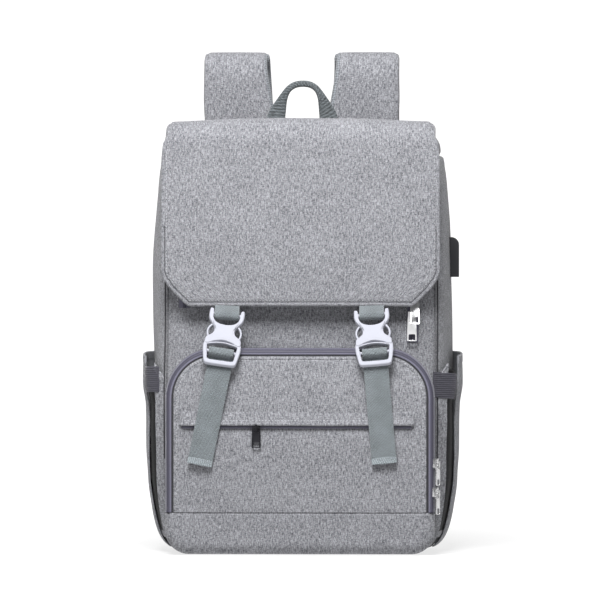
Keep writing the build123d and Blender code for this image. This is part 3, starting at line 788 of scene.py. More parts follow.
class BAG_OT_body_shell(bpy.types.Operator):
    """Sew the packing body: rings from the middle of its base up its walls, over the rim and down the lining."""
    bl_idname = "bag.body_shell"
    bl_label = "Body shell"

    def execute(self, context):
        wall = 3.6
        turn = np.linspace(0, math.pi / 2, 9)
        rows = [(20.0, 0.0, scale) for scale in (0.0, 0.3, 0.6, 0.85)]
        rows += [(20 * (1 - math.sin(a)), 20 * (1 - math.cos(a)), 1.0) for a in turn]
        rows += [(0.0, z, 1.0) for z in np.linspace(20, RIM_Z - 2, 96)[1:]]
        rows += [(wall / 2 * (1 - math.cos(a)), RIM_Z - 2 + 1.8 * math.sin(a), 1.0) for a in np.linspace(0,
                math.pi, 9)[1:-1]]
        outer_count = len(rows)
        rows += [(wall, z, 1.0) for z in np.linspace(RIM_Z - 2, 24, 40)]
        rows += [(wall + 16 * (1 - math.sin(a)), wall + 16 * (1 - math.cos(a)), 1.0) for a in turn[::-1]]
        rows += [(20.0, wall, scale) for scale in (0.8, 0.4, 0.0)]
        rings = [body_ring(inset, z) * np.array([scale, scale, 1.0]) for inset, z, scale in rows]
        grid = np.stack(rings, axis=1)
        z = grid[..., 2]
        round_run = lengths_along(grid[:, outer_count // 2])[:, None]
        height = np.concatenate([[0.0],
                np.cumsum(np.hypot(np.diff([r[0] for r in rows]), np.diff([r[1] for r in rows])))])
        fade = smoothstep(20, 60, z) * (1 - smoothstep(RIM_Z - 40, RIM_Z - 8, z))
        soft = ripple(round_run, z, 11, 6, 170.0, 60.0) * 1.1 * fade
        normal = unit(np.stack([grid[..., 0] / BODY_HALF_X ** 2, grid[..., 1] / BODY_HALF_Y ** 2,
                np.zeros_like(z)], axis=2))
        grid = grid + normal * (soft - 0.6)[..., None] * (fade > 0)[..., None]
        uv = on_grid(round_run, height[None, :])
        slots = np.where(np.arange(len(rows) - 1) < outer_count, 0, 1)
        shell = form("body_shell", grid, made_of("heather", "lining"), slots, uv)
        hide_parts("base_panel", "back_panel", "front_panel", "side_panel_left", "side_panel_right")
        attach(shell, "pack")
        self.corner_seams(grid[:, outer_count - 84:outer_count - 8])
        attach(top_cap("back_strip", BODY_HIGH[1], False), "pack")
        return {"FINISHED"}

    def corner_seams(self, walls):
        """Piping and its sunk seam up both front corners, along the body's own upright lines, and a short row of
        stitches across the left of the front."""
        ring = walls[:, 40]
        for name, side in SIDES.items():
            # The seam tube is near-black cloth: a painted shadow line in the sunk seam beside the piping.
            for part, x, y, radius, finish in (("piping", 134.4, -64.4, 1.2, "piping"),
                    ("seam", 137.0, -61.2, 0.9, "seam")):
                nearest = int(np.argmin(np.hypot(ring[:, 0] - side * x, ring[:, 1] - y)))
                path = resample(walls[nearest], 110)
                seam = tube(f"corner_{part}_{name}", path, radius, material(finish))
                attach(seam, "pack")
        level = walls[:, int(np.argmin(np.abs(walls[0, :, 2] - 247.0)))]
        level = level[(level[:, 1] < -67.0) & (level[:, 0] < -84.0)]
        level = resample(level[np.argsort(level[:, 0])] + np.array([0.0, -0.1, 0.0]), 80)
        row = stitches("front_panel_stitches", level, facing_front(80), material("thread_dark"), 0.6, 0.5)
        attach(row, "pack")


def top_cap(name, far_y, front):
    """A cap from the rim to the top of the body, on one side of the flap's hinge line: half outlines that rise
    round the upper edge and shrink to the middle of the hinge line, as two skins."""
    near = HINGE_Y if front else HINGE_Y + 0.9
    radius, wall, lift = 20.0, 3.4, -0.6
    reach = abs(far_y - near)
    outline = body_ring(0.0, RIM_Z + 4, 1200)
    half = outline[outline[:, 1] <= near] if front else outline[outline[:, 1] >= near]
    if not front:
        half = half[np.argsort(np.arctan2(half[:, 1] - near, half[:, 0]))]
    half = resample(half, 150)
    half[0, 1] = half[-1, 1] = near
    wide = np.abs(half[:, 0]).max()
    turn = np.linspace(0, math.pi / 2, 10)
    top = BODY_HIGH[2] - 1.2 + lift

    def skin(drop):
        steps = [(drop, RIM_Z + 0.9), (drop, RIM_Z + 5.0)]
        steps += [(drop + (radius - drop) * (1 - math.cos(a)),
                   top - radius + (radius - drop) * math.sin(a)) for a in turn]
        widths = np.array([s[0] for s in steps])
        heights = np.array([s[1] for s in steps])
        keep = np.linspace(1, 0, 14)[1:]
        rows = [np.stack([half[:, 0] * (wide - w) / wide, near + (half[:, 1] - near) * (reach - w) / reach,
                          np.full(len(half), z)], 1)
                for w, z in zip(widths, heights)]
        last = rows[-1]
        rows += [np.stack([last[:, 0] * k, near + (last[:, 1] - near) * k, last[:, 2] + 0.8 * (1 - k)],
                          1) for k in keep]
        return np.stack(rows, axis=1)

    outer, inner = skin(1.5), skin(wall + 1.5)
    up = np.linalg.norm(np.diff(outer[75], axis=0), axis=1)
    uv = on_grid(lengths_along(half)[:, None], np.concatenate([[0.0], np.cumsum(up)])[None, :])
    piece = skins(name, outer, inner, made_of("heather", "lining"), uv)
    return piece


class BAG_OT_top_panel(bpy.types.Operator):
    """Sew the zipped top panel over the mouth."""
    bl_idname = "bag.top_panel"
    bl_label = "Top panel"

    def execute(self, context):
        panel = top_cap("top_panel_cloth", BODY_LOW[1], True)
        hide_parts("top_panel")
        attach(panel, "mouth")
        return {"FINISHED"}


# The flap ------------------------------------------------------------------------------------
FLAP_LOW, FLAP_HIGH = node_box("flap")
FLAP_BEND = 24.0
FLAP_CORNER = 7.0
FLAP_LEAN = 3.0                 # how far the front leans back from its lower edge to the bend
FLAP_CUT = 27.0


def flap_profile():
    """The flap's middle line from its hinge over the bend to its lower edge, as y, z, and the outward direction."""
    half = sizes().flap_thick / 2
    top, front, back = FLAP_HIGH[2] - half, FLAP_LOW[1] + half + FLAP_LEAN, FLAP_HIGH[1]
    radius = FLAP_BEND - half
    turn = np.linspace(0, math.pi / 2, 24)
    line = np.vstack([
        np.stack([np.linspace(back, front + radius, 40), np.full(40, top)], 1)[:-1],
        np.stack([front + radius - radius * np.sin(turn), top - radius + radius * np.cos(turn)], 1),
        np.stack([np.linspace(front, front - FLAP_LEAN, 60), np.linspace(top - radius, FLAP_LOW[2] + 0.2, 60)],
                 1)[1:]])
    run = lengths_along(line)
    return line, run


def flap_half_width(down):
    """Half width of the flap at a distance from its lower edge: cut off at 45 degrees, full, and a little less on top."""
    half = FLAP_HIGH[0] - 0.3 - 4.2 * np.clip((down - 145) / 31, 0, 1.06) ** 1.6
    cut = np.clip(FLAP_CUT - down, 0, FLAP_CUT)
    ease = 2.4 * np.exp(-((down - FLAP_CUT) / 5.0) ** 2)
    return half - cut - ease - 3.2 * np.exp(-down / 1.6)


def flap_point(across, run):
    """A point of the flap's middle surface: the profile at run, across times the half width, dropped at the top
    corners by a quarter circle and over the width by a shallow arch, swollen outwards by soft ripples."""
    line, total = flap_profile()
    across, run = np.broadcast_arrays(across, run)
    y, z = np.interp(run, total, line[:, 0]), np.interp(run, total, line[:, 1])
    ahead_y = np.interp(run + 1, total, line[:, 0]) - np.interp(run - 1, total, line[:, 0])
    ahead_z = np.interp(run + 1, total, line[:, 1]) - np.interp(run - 1, total, line[:, 1])
    long = np.hypot(ahead_y, ahead_z) + 1e-9
    out_y, out_z = ahead_z / long, -ahead_y / long
    down = total[-1] - run
    x = across * flap_half_width(down)
    on_top = np.clip(out_z, 0, 1)
    rim = flap_half_width(down)
    beyond = np.clip(np.abs(x) - (rim - FLAP_CORNER), 0, FLAP_CORNER)
    drop = 1.25 * (FLAP_CORNER - np.sqrt(FLAP_CORNER ** 2 - beyond ** 2 * 0.995)) + 2.6 * (x / rim) ** 2
    z = z - drop * np.minimum(1.0, on_top * 3.0)
    front = smoothstep(70, 140, run) * smoothstep(0, 60, down)
    swell = 1.6 * (1 - across ** 2) * front + (ripple(x, run, 5, 8, 190.0,
            38.0) * 0.75 + 0.35) * (0.35 + 0.65 * front) * smoothstep(0, 1, 1 - np.abs(across) ** 8)
    curl = 1.6 * np.clip(1 - (flap_half_width(down) - np.abs(x)) / 7.0, 0, 1) ** 2 * smoothstep(40, 110, run)
    y = y + out_y * swell + curl
    z = z + out_z * np.maximum(swell, 0)
    return np.stack([x, y, z], axis=-1)


class BAG_OT_flap(bpy.types.Operator):
    """Sew the flap, its edge stitching and its lower hem."""
    bl_idname = "bag.flap"
    bl_label = "Flap"

    def execute(self, context):
        total = flap_profile()[1][-1]
        across = spread(150, 0.8)[:, None]
        run = spread(190, 0.75, 0.0, total)[None, :]
        middle = flap_point(across, run)
        down = total - run
        side = (1 - np.abs(across)) * flap_half_width(down)
        side = side * np.where(down < FLAP_CUT, 0.78, 1.0)
        edge = np.minimum(np.minimum(side, down), run)
        groove = np.exp(-((edge - 4.6) / 0.8) ** 2) * (run > 30)
        thick = sizes().flap_thick - 1.5 * groove - 0.7 * (edge < 4.6)
        uv = on_grid(across * FLAP_HIGH[0] + 200, run)
        cloth = sheet_piece("flap_cloth", middle, thick, made_of("heather", "lining"), edge=edge,
                            rounding=1.3, uv=uv, out=(0, -1, 0.3))
        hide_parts("flap")
        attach(cloth, "flap")
        self.edge_stitching(total)
        path, _ = self.edge_line(total, 1.3, total - 60.0)
        # The hem tube takes the darkened heather copy, painted shade.
        hem = tube("flap_hem", path, 2.0, material("heather_fold_painted_shade"), 12)
        # A thin near-black tube above the hem: painted shadow in the hem's seam.
        path, normal = self.edge_line(total, 3.6, total - 80.0)
        seam = tube("flap_hem_seam_shadow", path + normal * (sizes().flap_thick / 2 - 0.75), 0.4, material("seam"))
        for piece in (hem, seam):
            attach(piece, "flap")
        return {"FINISHED"}

    def edge_line(self, total, inside, start):
        """A line a little inside the flap's sides, cut corners and lower edge, and its outward directions."""
        run = np.linspace(start, total - inside, 320)
        slant = np.where(total - run < FLAP_CUT, 1.3, 1.0)
        share = 1 - inside * slant / flap_half_width(total - run)
        low = np.linspace(-share[-1], share[-1], 200)
        path = np.vstack([flap_point(-share, run), flap_point(low, total - inside)[1:-1],
                          flap_point(share[::-1], run[::-1])])
        turn = np.concatenate([run, np.full(198, total), run[::-1]])
        up = smoothstep(105, 75, turn)
        return path, unit(np.stack([0 * up, -1 + up, up], axis=1))

    def edge_stitching(self, total):
        """One row of stitches 5.4 mm inside the edge."""
        path, normal = self.edge_line(total, 5.4, 62.0)
        row = stitches("flap_stitching", path + normal * (sizes().flap_thick / 2 - 0.3), normal,
                       material("thread"), 0.5, 0.66)
        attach(row, "flap")


# Zips ----------------------------------------------------------------------------------------
def zip_section(half, tape, coil_half, coil_height, count=15):
    """Across positions and base heights of a zip seen in section: tape, coil, tape, and the flat underside."""
    top = np.concatenate([[-half, -half + 0.25], np.linspace(-coil_half, coil_half, count),
                          [half - 0.25, half]])
    low = top[::-1][1:-1]
    across = np.concatenate([top, low, top[:1]])
    lift = np.concatenate([[0.0], np.full(len(top) - 2, tape), [0.0], np.full(len(low), -0.5), [0.0]])
    coil = np.concatenate([[9, 9], np.linspace(-1, 1, count), [9, 9], np.full(len(low) + 1, 9)])
    on_coil = (np.abs((coil[:-1] + coil[1:]) / 2) < 1.01).astype(int)
    return across, lift, coil, on_coil


class BAG_OT_main_zip(bpy.types.Operator):
    """Lay the main zip round the body's front: its section carried up one side, across and down the other."""
    bl_idname = "bag.main_zip"
    bl_label = "Main zip"

    def execute(self, context):
        low, high = node_box("main_zip")
        top, right, left, bend = high[2] - 4.0, high[0] + 0.6, -117.0, 26.0
        turn = np.linspace(0, math.pi / 2, 12)
        line = np.vstack([
            [[left, low[2] + 35.0]],
            np.stack([left + bend - bend * np.cos(turn), top - bend + bend * np.sin(turn)], 1),
            np.stack([right - bend + bend * np.sin(turn), top - bend + bend * np.cos(turn)], 1),
            [[right, low[2] + 0.5]]])
        count = int(lengths_along(line)[-1] / 0.62)
        line = resample(line, count)
        ahead = unit(np.gradient(line, axis=0))
        side = np.stack([-ahead[:, 1], ahead[:, 0]], axis=1)
        across, lift, coil, on_coil = zip_section(5.6, 0.5, 1.7, 1.6)
        run = lengths_along(line)[:, None]
        x = line[:, None, 0] + side[:, None, 0] * across
        z = line[:, None, 1] + side[:, None, 1] * across
        rise = lift[None, :] + np.where(np.abs(coil) < 1.01,
                coil_lift(run, np.clip(coil, -1, 1)[None, :], 1.3, 1.3), 0.0)
        y = body_front_y(x, z) + 0.1 - rise
        grid = closed_ends(np.stack([x, y, z], axis=2))
        run = np.concatenate([[run[0]], run, [run[-1]]])
        uv = on_grid(across[None, :] + 10, run)
        piece = form("main_zip_tape", grid, made_of("tape", "coil"), on_coil, uv)
        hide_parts("main_zip")
        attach(piece, "pack")
        self.flank_stitches(line, side)
        return {"FINISHED"}

    def flank_stitches(self, line, side):
        """Stitching beside the zip on the body cloth."""
        for name, off in (("outer", 7.2), ("inner", -7.2)):
            path = resample(line + side * off, 300)
            y = body_front_y(path[:, 0], path[:, 1]) - 0.1
            path = np.stack([path[:, 0], y, path[:, 1]], axis=1)
            normal = facing_front(len(path))
            row = stitches(f"main_zip_stitches_{name}", path, normal, material("thread"), 0.5)
            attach(row, "pack")


class BAG_OT_front_pocket(bpy.types.Operator):
    """Sew the front pocket: its wall, its fixed foot and its folding face."""
    bl_idname = "bag.front_pocket"
    bl_label = "Front pocket"

    def execute(self, context):
        wall = self.wall()
        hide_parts("pocket_gusset")
        self.foot()
        self.face()
        return {"FINISHED"}

    def wall(self):
        """The pocket's outline carried back from its rounded edge to the body."""
        line, out = pocket_outline(420)
        depth = np.linspace(0, 1, 16)[None, :]
        angle = math.radians(9)
        inset = POCKET_EDGE * (1 - math.cos(angle))
        front = pocket_front_y(line[:, 1]) + POCKET_EDGE * (1 - math.sin(angle)) + 0.3
        back = np.full(len(line), BODY_LOW[1] + 1.5)
        y = front[:, None] + (back - front)[:, None] * depth
        sag = 1.4 * np.sin(math.pi * depth) + 0.5 * ripple(lengths_along(line)[:, None], depth * 30, 3, 5,
                120.0, 40.0) * np.sin(math.pi * depth)
        shift = inset * (1 - depth) + sag
        middle = np.stack([line[:, None, 0] - out[:, None, 0] * shift, y,
                           line[:, None, 1] - out[:, None, 1] * shift], axis=2)
        outward = np.stack([out[:, 0], 0 * out[:, 0], out[:, 1]], axis=1)[:, None]
        edge = np.minimum(depth, 1 - depth) * 25
        half = (1.1 * rounded_edge(edge, 1.0))[..., None]
        uv = on_grid(lengths_along(line)[:, None], depth * 25)
        outer, inner = middle, middle - outward * 2 * half
        rows, columns = middle.shape[:2]
        grid = np.concatenate([outer, inner[:, ::-1]], axis=1)
        grid = np.concatenate([grid, grid[:, :1]], axis=1)
        slots = np.array([0] * (columns - 1) + [0] + [1] * (columns - 1) + [0])
        uv = np.concatenate([uv, uv[:, ::-1], uv[:, :1]], axis=1)
        piece = form("pocket_wall", grid, made_of("heather", "lining"), slots, uv)
        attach(piece, "pack")
        return piece

    def front_grid(self, x, z, edge_inset):
        """Depth of the pocket's front at x and z: its leaning front, rounded off at the outline."""
        edge = np.clip(pocket_edge_distance(x, z), edge_inset, POCKET_EDGE)
        return pocket_front_y(z) + POCKET_EDGE - np.sqrt(POCKET_EDGE ** 2 - (POCKET_EDGE - edge) ** 2)

    def swell(self, x, z, edge):
        """How far the front stands out: filled in its middle, less at the welt, with soft creases pressed in."""
        soft = ripple(x, z, 21, 8, 150.0, 36.0) * 0.8 * smoothstep(0, 30, edge)
        return 1.3 * smoothstep(0, 45,
                edge) * (1 - np.exp(-((z - WELT_Z) / 16.0) ** 2)) - soft * 0.6 * (soft < 0)

    def foot(self):
        """The part of the front below the fold, round the lower corners."""
        z = np.concatenate([POCKET_FLOOR + 24 * (1 - np.cos(np.linspace(0.06, math.pi / 2, 22))),
                            np.linspace(POCKET_FLOOR + 25, FOLD_Z - 0.04, 12)])[None, :]
        across = spread(110, 0.86)[:, None]
        x = across * pocket_half_width(z, 0.35)
        z = np.broadcast_to(z, x.shape)
        inner = pocket_edge_distance(x, z, 8.6)
        y = self.front_grid(x, z, 0.3) - self.swell(x, z, inner) * smoothstep(FOLD_Z - 30, FOLD_Z, z)
        middle = np.stack([x, y + 1.0, z], axis=2)
        uv = np.stack([x + 300, z], axis=2)
        piece = sheet_piece("pocket_foot", middle, 2.0, made_of("heather", "lining"),
                            edge=pocket_edge_distance(x, z, 0.35), rounding=0.8, uv=uv, out=(0, -1, 0))
        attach(piece, "pack")

    def face(self):
        """The folding face inside the zip, with a sunk line at the welt and soft creases."""
        inset = 8.6
        z = spread(150, 0.7, FOLD_Z + 0.04, POCKET_TOP - inset)[None, :]
        across = spread(150, 0.72)[:, None]
        x = across * pocket_half_width(z, inset)
        z = np.broadcast_to(z, x.shape)
        edge = pocket_edge_distance(x, z, inset)
        y = self.front_grid(x, z, 0.5)
        sunk = 1.3 * np.exp(-((z - WELT_Z + 1.0) / 3.0) ** 2) * smoothstep(4, 14, edge)
        seam = 0.7 * np.exp(-((edge - 3.4) / 0.7) ** 2) + 0.9 * np.clip(1 - edge / 2.2, 0, 1) ** 2
        middle = np.stack([x, y + 1.0 - self.swell(x, z, edge) + sunk + seam, z], axis=2)
        uv = np.stack([x + 300, z], axis=2)
        piece = sheet_piece("pocket_face_cloth", middle, 2.0, made_of("heather", "lining"), edge=edge,
                            rounding=1.0, uv=uv, out=(0, -1, 0))
        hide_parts("pocket_face")
        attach(piece, "pocket_front")
        line, out = pocket_outline(500, fold=True)
        path = pocket_band(line, out, np.array([math.radians(90)]), 0.0)[:, 0]
        normal = facing_front(len(path))
        keep = path[:, 2] > FOLD_Z + 4
        row = stitches("pocket_face_stitches", path[keep] + normal[keep] * 0.15, normal[keep],
                       material("thread"), 0.5)
        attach(row, "pocket_front")
        level = int(np.argmin(np.abs(z[0] - 161.0)))
        across = resample(middle[4:-4, level] + np.array([0.0, -1.05, 0.0]), 300)
        row = stitches("pocket_face_cross_stitches", across, facing_front(300), material("thread_dark"), 0.55,
                       0.5)
        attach(row, "pocket_front")


class BAG_OT_pocket_zip(bpy.types.Operator):
    """Run the pocket's zip round its rounded edge, over angles from its wall to its face."""
    bl_idname = "bag.pocket_zip"
    bl_label = "Pocket zip"

    def execute(self, context):
        length = lengths_along(pocket_outline(50, fold=True)[0])[-1]
        line, out = pocket_outline(int(length / 0.55), fold=True)
        run = lengths_along(line)[:, None]
        degrees = np.concatenate([[8, 10, 16, 26], np.linspace(34, 54, 13), [58, 62, 66, 72, 73]])
        coil = (degrees - 44) / 10
        base = np.interp(degrees, [8, 10, 57, 61, 66, 70, 73], [-0.9, 0.35, 0.35, 0.1, -1.4, -1.4, -0.3])
        angle = np.radians(degrees)
        lift = base[None, :] + np.where(np.abs(coil) <= 1, coil_lift(run, np.clip(coil, -1, 1)[None, :], 1.25,
                1.25), 0.0)
        grid = pocket_band(line, out, angle, 0.0)
        radial = pocket_band(line, out, angle, 1.0) - grid
        top = grid + radial * lift[..., None]
        low = grid - radial * 2.0
        ring = np.concatenate([top, low[:, ::-1], top[:, :1]], axis=1)
        mid = (degrees[:-1] + degrees[1:]) / 2
        # Slot 2, the near-black seam cloth, paints the shadow lines along both edges of the zip and its underside.
        slots = np.select([mid < 15, (mid > 34) & (mid < 54), mid > 61], [2, 1, 2], 0)
        slots = np.concatenate([slots, [2], np.full(len(degrees) - 1, 2), [2]])
        across = np.radians(degrees) * POCKET_EDGE
        across = np.concatenate([across, across[::-1], across[:1]])
        ring, run = closed_ends(ring), np.concatenate([[run[0]], run, [run[-1]]])
        uv = on_grid(across[None, :], run)
        band = form("pocket_zip_band", ring, made_of("tape", "coil", "seam"), slots, uv)
        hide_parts("pocket_zip")
        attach(band, "pack")
        return {"FINISHED"}


class BAG_OT_welt(bpy.types.Operator):
    """Sew the flat pocket's welt: a narrow coil zip under a hooding lip of cloth."""
    bl_idname = "bag.welt"
    bl_label = "Welt pocket"

    def execute(self, context):
        self.zip()
        self.lip()
        return {"FINISHED"}

    def zip(self):
        """The flat zip in the welt: its section carried straight across the face."""
        low, high = node_box("welt_zip")
        run = np.arange(low[0], high[0], 0.62)[:, None]
        across, lift, coil, on_coil = zip_section(2.0, 0.3, 1.1, 1.0, 9)
        rise = lift[None, :] + np.where(np.abs(coil) < 1.01,
                coil_lift(run, np.clip(coil, -1, 1)[None, :], 1.2, 0.7), 0.0)
        x, z = np.broadcast_arrays(run, WELT_Z + across[None, :])
        grid = closed_ends(np.stack([x, high[1] - 0.35 - rise, z], axis=2))
        uv = np.stack([grid[..., 2], grid[..., 0] + 300], axis=2)
        piece = form("welt_zip_tape", grid, made_of("tape", "coil"), on_coil, uv)
        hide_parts("welt_zip")
        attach(piece, "pocket_front")

    def lip(self):
        """The lip: a sheet from the face cloth down and forward, ending in a folded edge over the zip."""
        low, high = node_box("welt_lip")
        down = np.linspace(0, 1, 16)[None, :]
        x = spread(160, 0.8, low[0], high[0])[:, None]
        taper = smoothstep(0, 1, np.minimum(x - low[0], high[0] - x) / 4)
        z = high[2] + 3.0 - 15.6 * down + 0.25 * ripple(x, x * 0, 8, 5, 90.0, 30.0) * down
        y = pocket_front_y(WELT_Z + 10) + 1.2 - (0.7 + 4.5 * down ** 0.8) * (0.6 + 0.4 * taper)
        middle = on_grid(x, y, z)
        thick = 0.9 + 0.9 * (down > 0.8)
        piece = sheet_piece("welt_lip_cloth", middle, thick * np.ones_like(middle[..., 0]), made_of("heather"),
                            rounding=0.8, out=(0, -1, 0))
        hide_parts("welt_lip")
        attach(piece, "pocket_front")
        path = np.stack([np.linspace(low[0] + 4, high[0] - 4, 300), np.full(300, -112.0), np.full(300, 134.5)],
                        axis=1)
        row = stitches("welt_stitches", path, np.tile([0.0, -1.0, 0.2], (300, 1)), material("thread"), 0.45)
        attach(row, "pocket_front")


# Side pockets --------------------------------------------------------------------------------
POUCH_LOW, POUCH_HIGH = node_box("side_pocket_front_right")[0], node_box("side_pocket_rear_right")[1]
PLEAT_LOW, PLEAT_HIGH = node_box("side_pocket_pleat_right")
TAB_LOW, TAB_HIGH = node_box("side_pocket_tab_right")


def pouch_depth(y, z):
    """How far the pouch stands off the body: nothing at its sewn sides and foot, fuller at its gathered top."""
    fore = smoothstep(POUCH_LOW[1] - 3, POUCH_LOW[1] + 15, y)
    aft = smoothstep(POUCH_HIGH[1] + 1, POUCH_HIGH[1] - 16, y)
    tall = 5.6 * smoothstep(4, 95, z) ** 0.7 + 3.0 * smoothstep(148, 172, z)
    return 0.5 + tall * fore * aft


def pouch_point(side, y, z, lift=0.0):
    """A point on the pouch's cloth: the body's side at that depth and height, plus the pouch's depth."""
    x = side * (body_side_x(y, z) + pouch_depth(y, z) + lift)
    return on_grid(x, y, z)


class BAG_OT_side_pockets(bpy.types.Operator):
    """Sew both side pockets: front cloth, dark stretch pleat, rear cloth and the ribbed elastic tab."""
    bl_idname = "bag.side_pockets"
    bl_label = "Side pockets"

    def execute(self, context):
        for name, side in SIDES.items():
            self.panel(name, side, "front", POUCH_LOW[1] - 2.0, PLEAT_LOW[1] - 8.0, 177.0, 192.0, "heather",
                       0.0, 31)
            # The pleat's near-black cloth also paints the shade deep in its gap.
            self.panel(name, side, "pleat", PLEAT_LOW[1] - 9.5, PLEAT_HIGH[1] - 3.5, 186.0, 182.0, "pleat",
                       -2.6, 32)
            self.panel(name, side, "rear", PLEAT_HIGH[1] - 5.0, POUCH_HIGH[1], POUCH_HIGH[2] - 4, POUCH_HIGH[2],
                       "heather", 0.0, 33)
            self.tab(name, side)
        return {"FINISHED"}

    def panel(self, name, side, part, fore, aft, fore_top, aft_top, finish, lift, seed):
        """One cloth of the pouch between two depths, its top edge running from fore_top to aft_top."""
        count = 60 if part == "rear" else 26
        y = spread(count, 0.5, fore, aft)[:, None]
        share = (y - fore) / (aft - fore)
        top = fore_top + (aft_top - fore_top) * share
        down = spread(110, 0.6, 0.0, 1.0)[None, :]
        z = top + (5.0 - top) * down
        soft = 0.5 * ripple(y, z, seed, 6, 90.0, 30.0) * np.sin(math.pi * down)
        folds = 0.7 * np.sin(y / 3.2) * np.exp(-((z - 168) / 22) ** 2) * (part == "rear") * smoothstep(fore,
                fore + 8, y) * smoothstep(aft, aft - 20, y)
        middle = pouch_point(side, y, z, lift + soft + folds)
        edge = edge_distance(middle)
        hem = (down * (top - 5) < 9) * 0.7
        thick = 1.5 + hem - 0.7 * np.exp(-((down * (top - 5) - 9) / 0.8) ** 2)
        uv = on_grid(y + 90, z)
        piece = sheet_piece(f"side_pocket_{part}_cloth_{name}", middle, thick,
                            [material(finish), material("lining")],
                            edge=edge, rounding=0.7, uv=uv, out=(side, 0, 0))
        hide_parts(f"side_pocket_{part}_{name}")
        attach(piece, "pack")

    def tab(self, name, side):
        """The elastic tab: a band laid over the pleat, its ribs a sine over its height."""
        fore = TAB_LOW[1] - (7.0 if side < 0 else 15.0)
        y = spread(34, 0.5, fore, fore + 22.0)[:, None]
        z = np.linspace(TAB_HIGH[2], TAB_LOW[2], 105)[None,
                :] - (0.0 if side < 0 else 5.0) - 0.12 * (y - fore) * (side > 0)
        rib = 0.28 * np.sin(TAU * (z - TAB_LOW[2]) / 2.0)
        middle = pouch_point(side, y, z + 0 * y, 1.15 + rib * 0.5)
        piece = sheet_piece(f"side_pocket_tab_elastic_{name}", middle, 1.2 + rib, made_of("elastic"),
                            rounding=0.6, out=(side, 0, 0))
        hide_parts(f"side_pocket_tab_{name}")
        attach(piece, "pack")


# Buckles and webbing -------------------------------------------------------------------------
class BuckleFrame:
    """A buckle's own axes, from its joints: u across, v up along it, w to the back, about the meeting line."""

    def __init__(self, name):
        joints = {joint["name"]: joint for joint in frame["record"]["behaviour"]["joints"]}
        slide, left, right = (joints[f"{kind}_{name}{end}"] for kind, end in
                              (("buckle_release", ""), ("arm_squeeze", "_l"), ("arm_squeeze", "_r")))
        self.v = -unit(np.array(slide["axis"], float))
        self.w = unit(np.array(left["axis"], float))
        self.u = unit(np.cross(self.v, self.w))
        if self.u[0] < 0:
            self.u, self.w = -self.u, self.w
        if self.w[1] < 0:
            self.w = -self.w
        self.origin = (np.array(left["pos_m"]) + np.array(right["pos_m"])) / 2 / MM - 3.9 * self.v

    def place(self, u, v, w):
        """Points of the bag from the buckle's own coordinates."""
        u, v, w = np.broadcast_arrays(u, v, w)
        return self.origin + u[..., None] * self.u + v[..., None] * self.v + w[..., None] * self.w


def eased(points, count, closed=False):
    """A smooth line through a few corner points: three rounds of corner cutting, evenly divided."""
    line = np.asarray(points, float)
    for _ in range(3):
        ahead = np.roll(line, -1, axis=0) if closed else line[1:]
        here = line if closed else line[:-1]
        cut = np.stack([0.75 * here + 0.25 * ahead, 0.25 * here + 0.75 * ahead], axis=1).reshape(-1,
                line.shape[1])
        line = cut if closed else np.vstack([line[:1], cut, line[-1:]])
    if closed:
        line = np.vstack([line, line[:1]])
    return resample(line, count)


def patch(left, right, top, low, rows=60, columns=60):
    """A patch between four edge lines: the sum of the two ruled surfaces less the one through the corners."""
    s, t = np.linspace(0, 1, rows)[:, None, None], np.linspace(0, 1, columns)[None, :, None]
    left, right = resample(left, columns)[None], resample(right, columns)[None]
    top, low = resample(top, rows)[:, None], resample(low, rows)[:, None]
    corners = ((1 - s) * (1 - t) * top[:1] + s * (1 - t) * top[-1:] + (1 - s) * t * low[:1] + s * t * low[-1:])
    return (1 - s) * left + s * right + (1 - t) * top + t * low - corners


def moulded_plate(name, frame_of, flat, front, back, finish, rounding=1.1):
    """A moulded plate: a patch in u and v, between front and back depths, with both faces rounded to the rim."""
    spots = np.concatenate([flat, np.zeros((*flat.shape[:2], 1))], axis=2)
    rise = rounded_edge(edge_distance(spots), rounding)
    middle = (front + back) / 2
    outer = frame_of.place(flat[..., 0], flat[..., 1], middle + (front - middle) * rise)
    inner = frame_of.place(flat[..., 0], flat[..., 1], middle + (back - middle) * rise)
    outer = outer - frame_of.w * (0.12 * (rise > 0))[..., None]
    return skins(name, outer, inner, [material(finish)])


def ring_plate(name, frame_of, outline, opening, thick, finish, edge=0.9):
    """A moulded ring: at each place round it, a rounded rectangle between the outline and the opening."""
    profile = np.array([[0, -1], [0.5, -1], [1, -1], [1, 0], [1, 1], [0.5, 1], [0, 1], [0, 0]], float)
    turn = eased(np.column_stack([profile[:, 0] * 2 - 1, profile[:, 1]]), 25, True)
    share, depth = (turn[:, 0] + 1) / 2, turn[:, 1]
    flat = outline[:, None] + (opening - outline)[:, None] * share[None, :, None]
    grid = frame_of.place(flat[..., 0], flat[..., 1], np.broadcast_to(depth * thick / 2, flat.shape[:2]))
    return form(name, grid, [material(finish)])


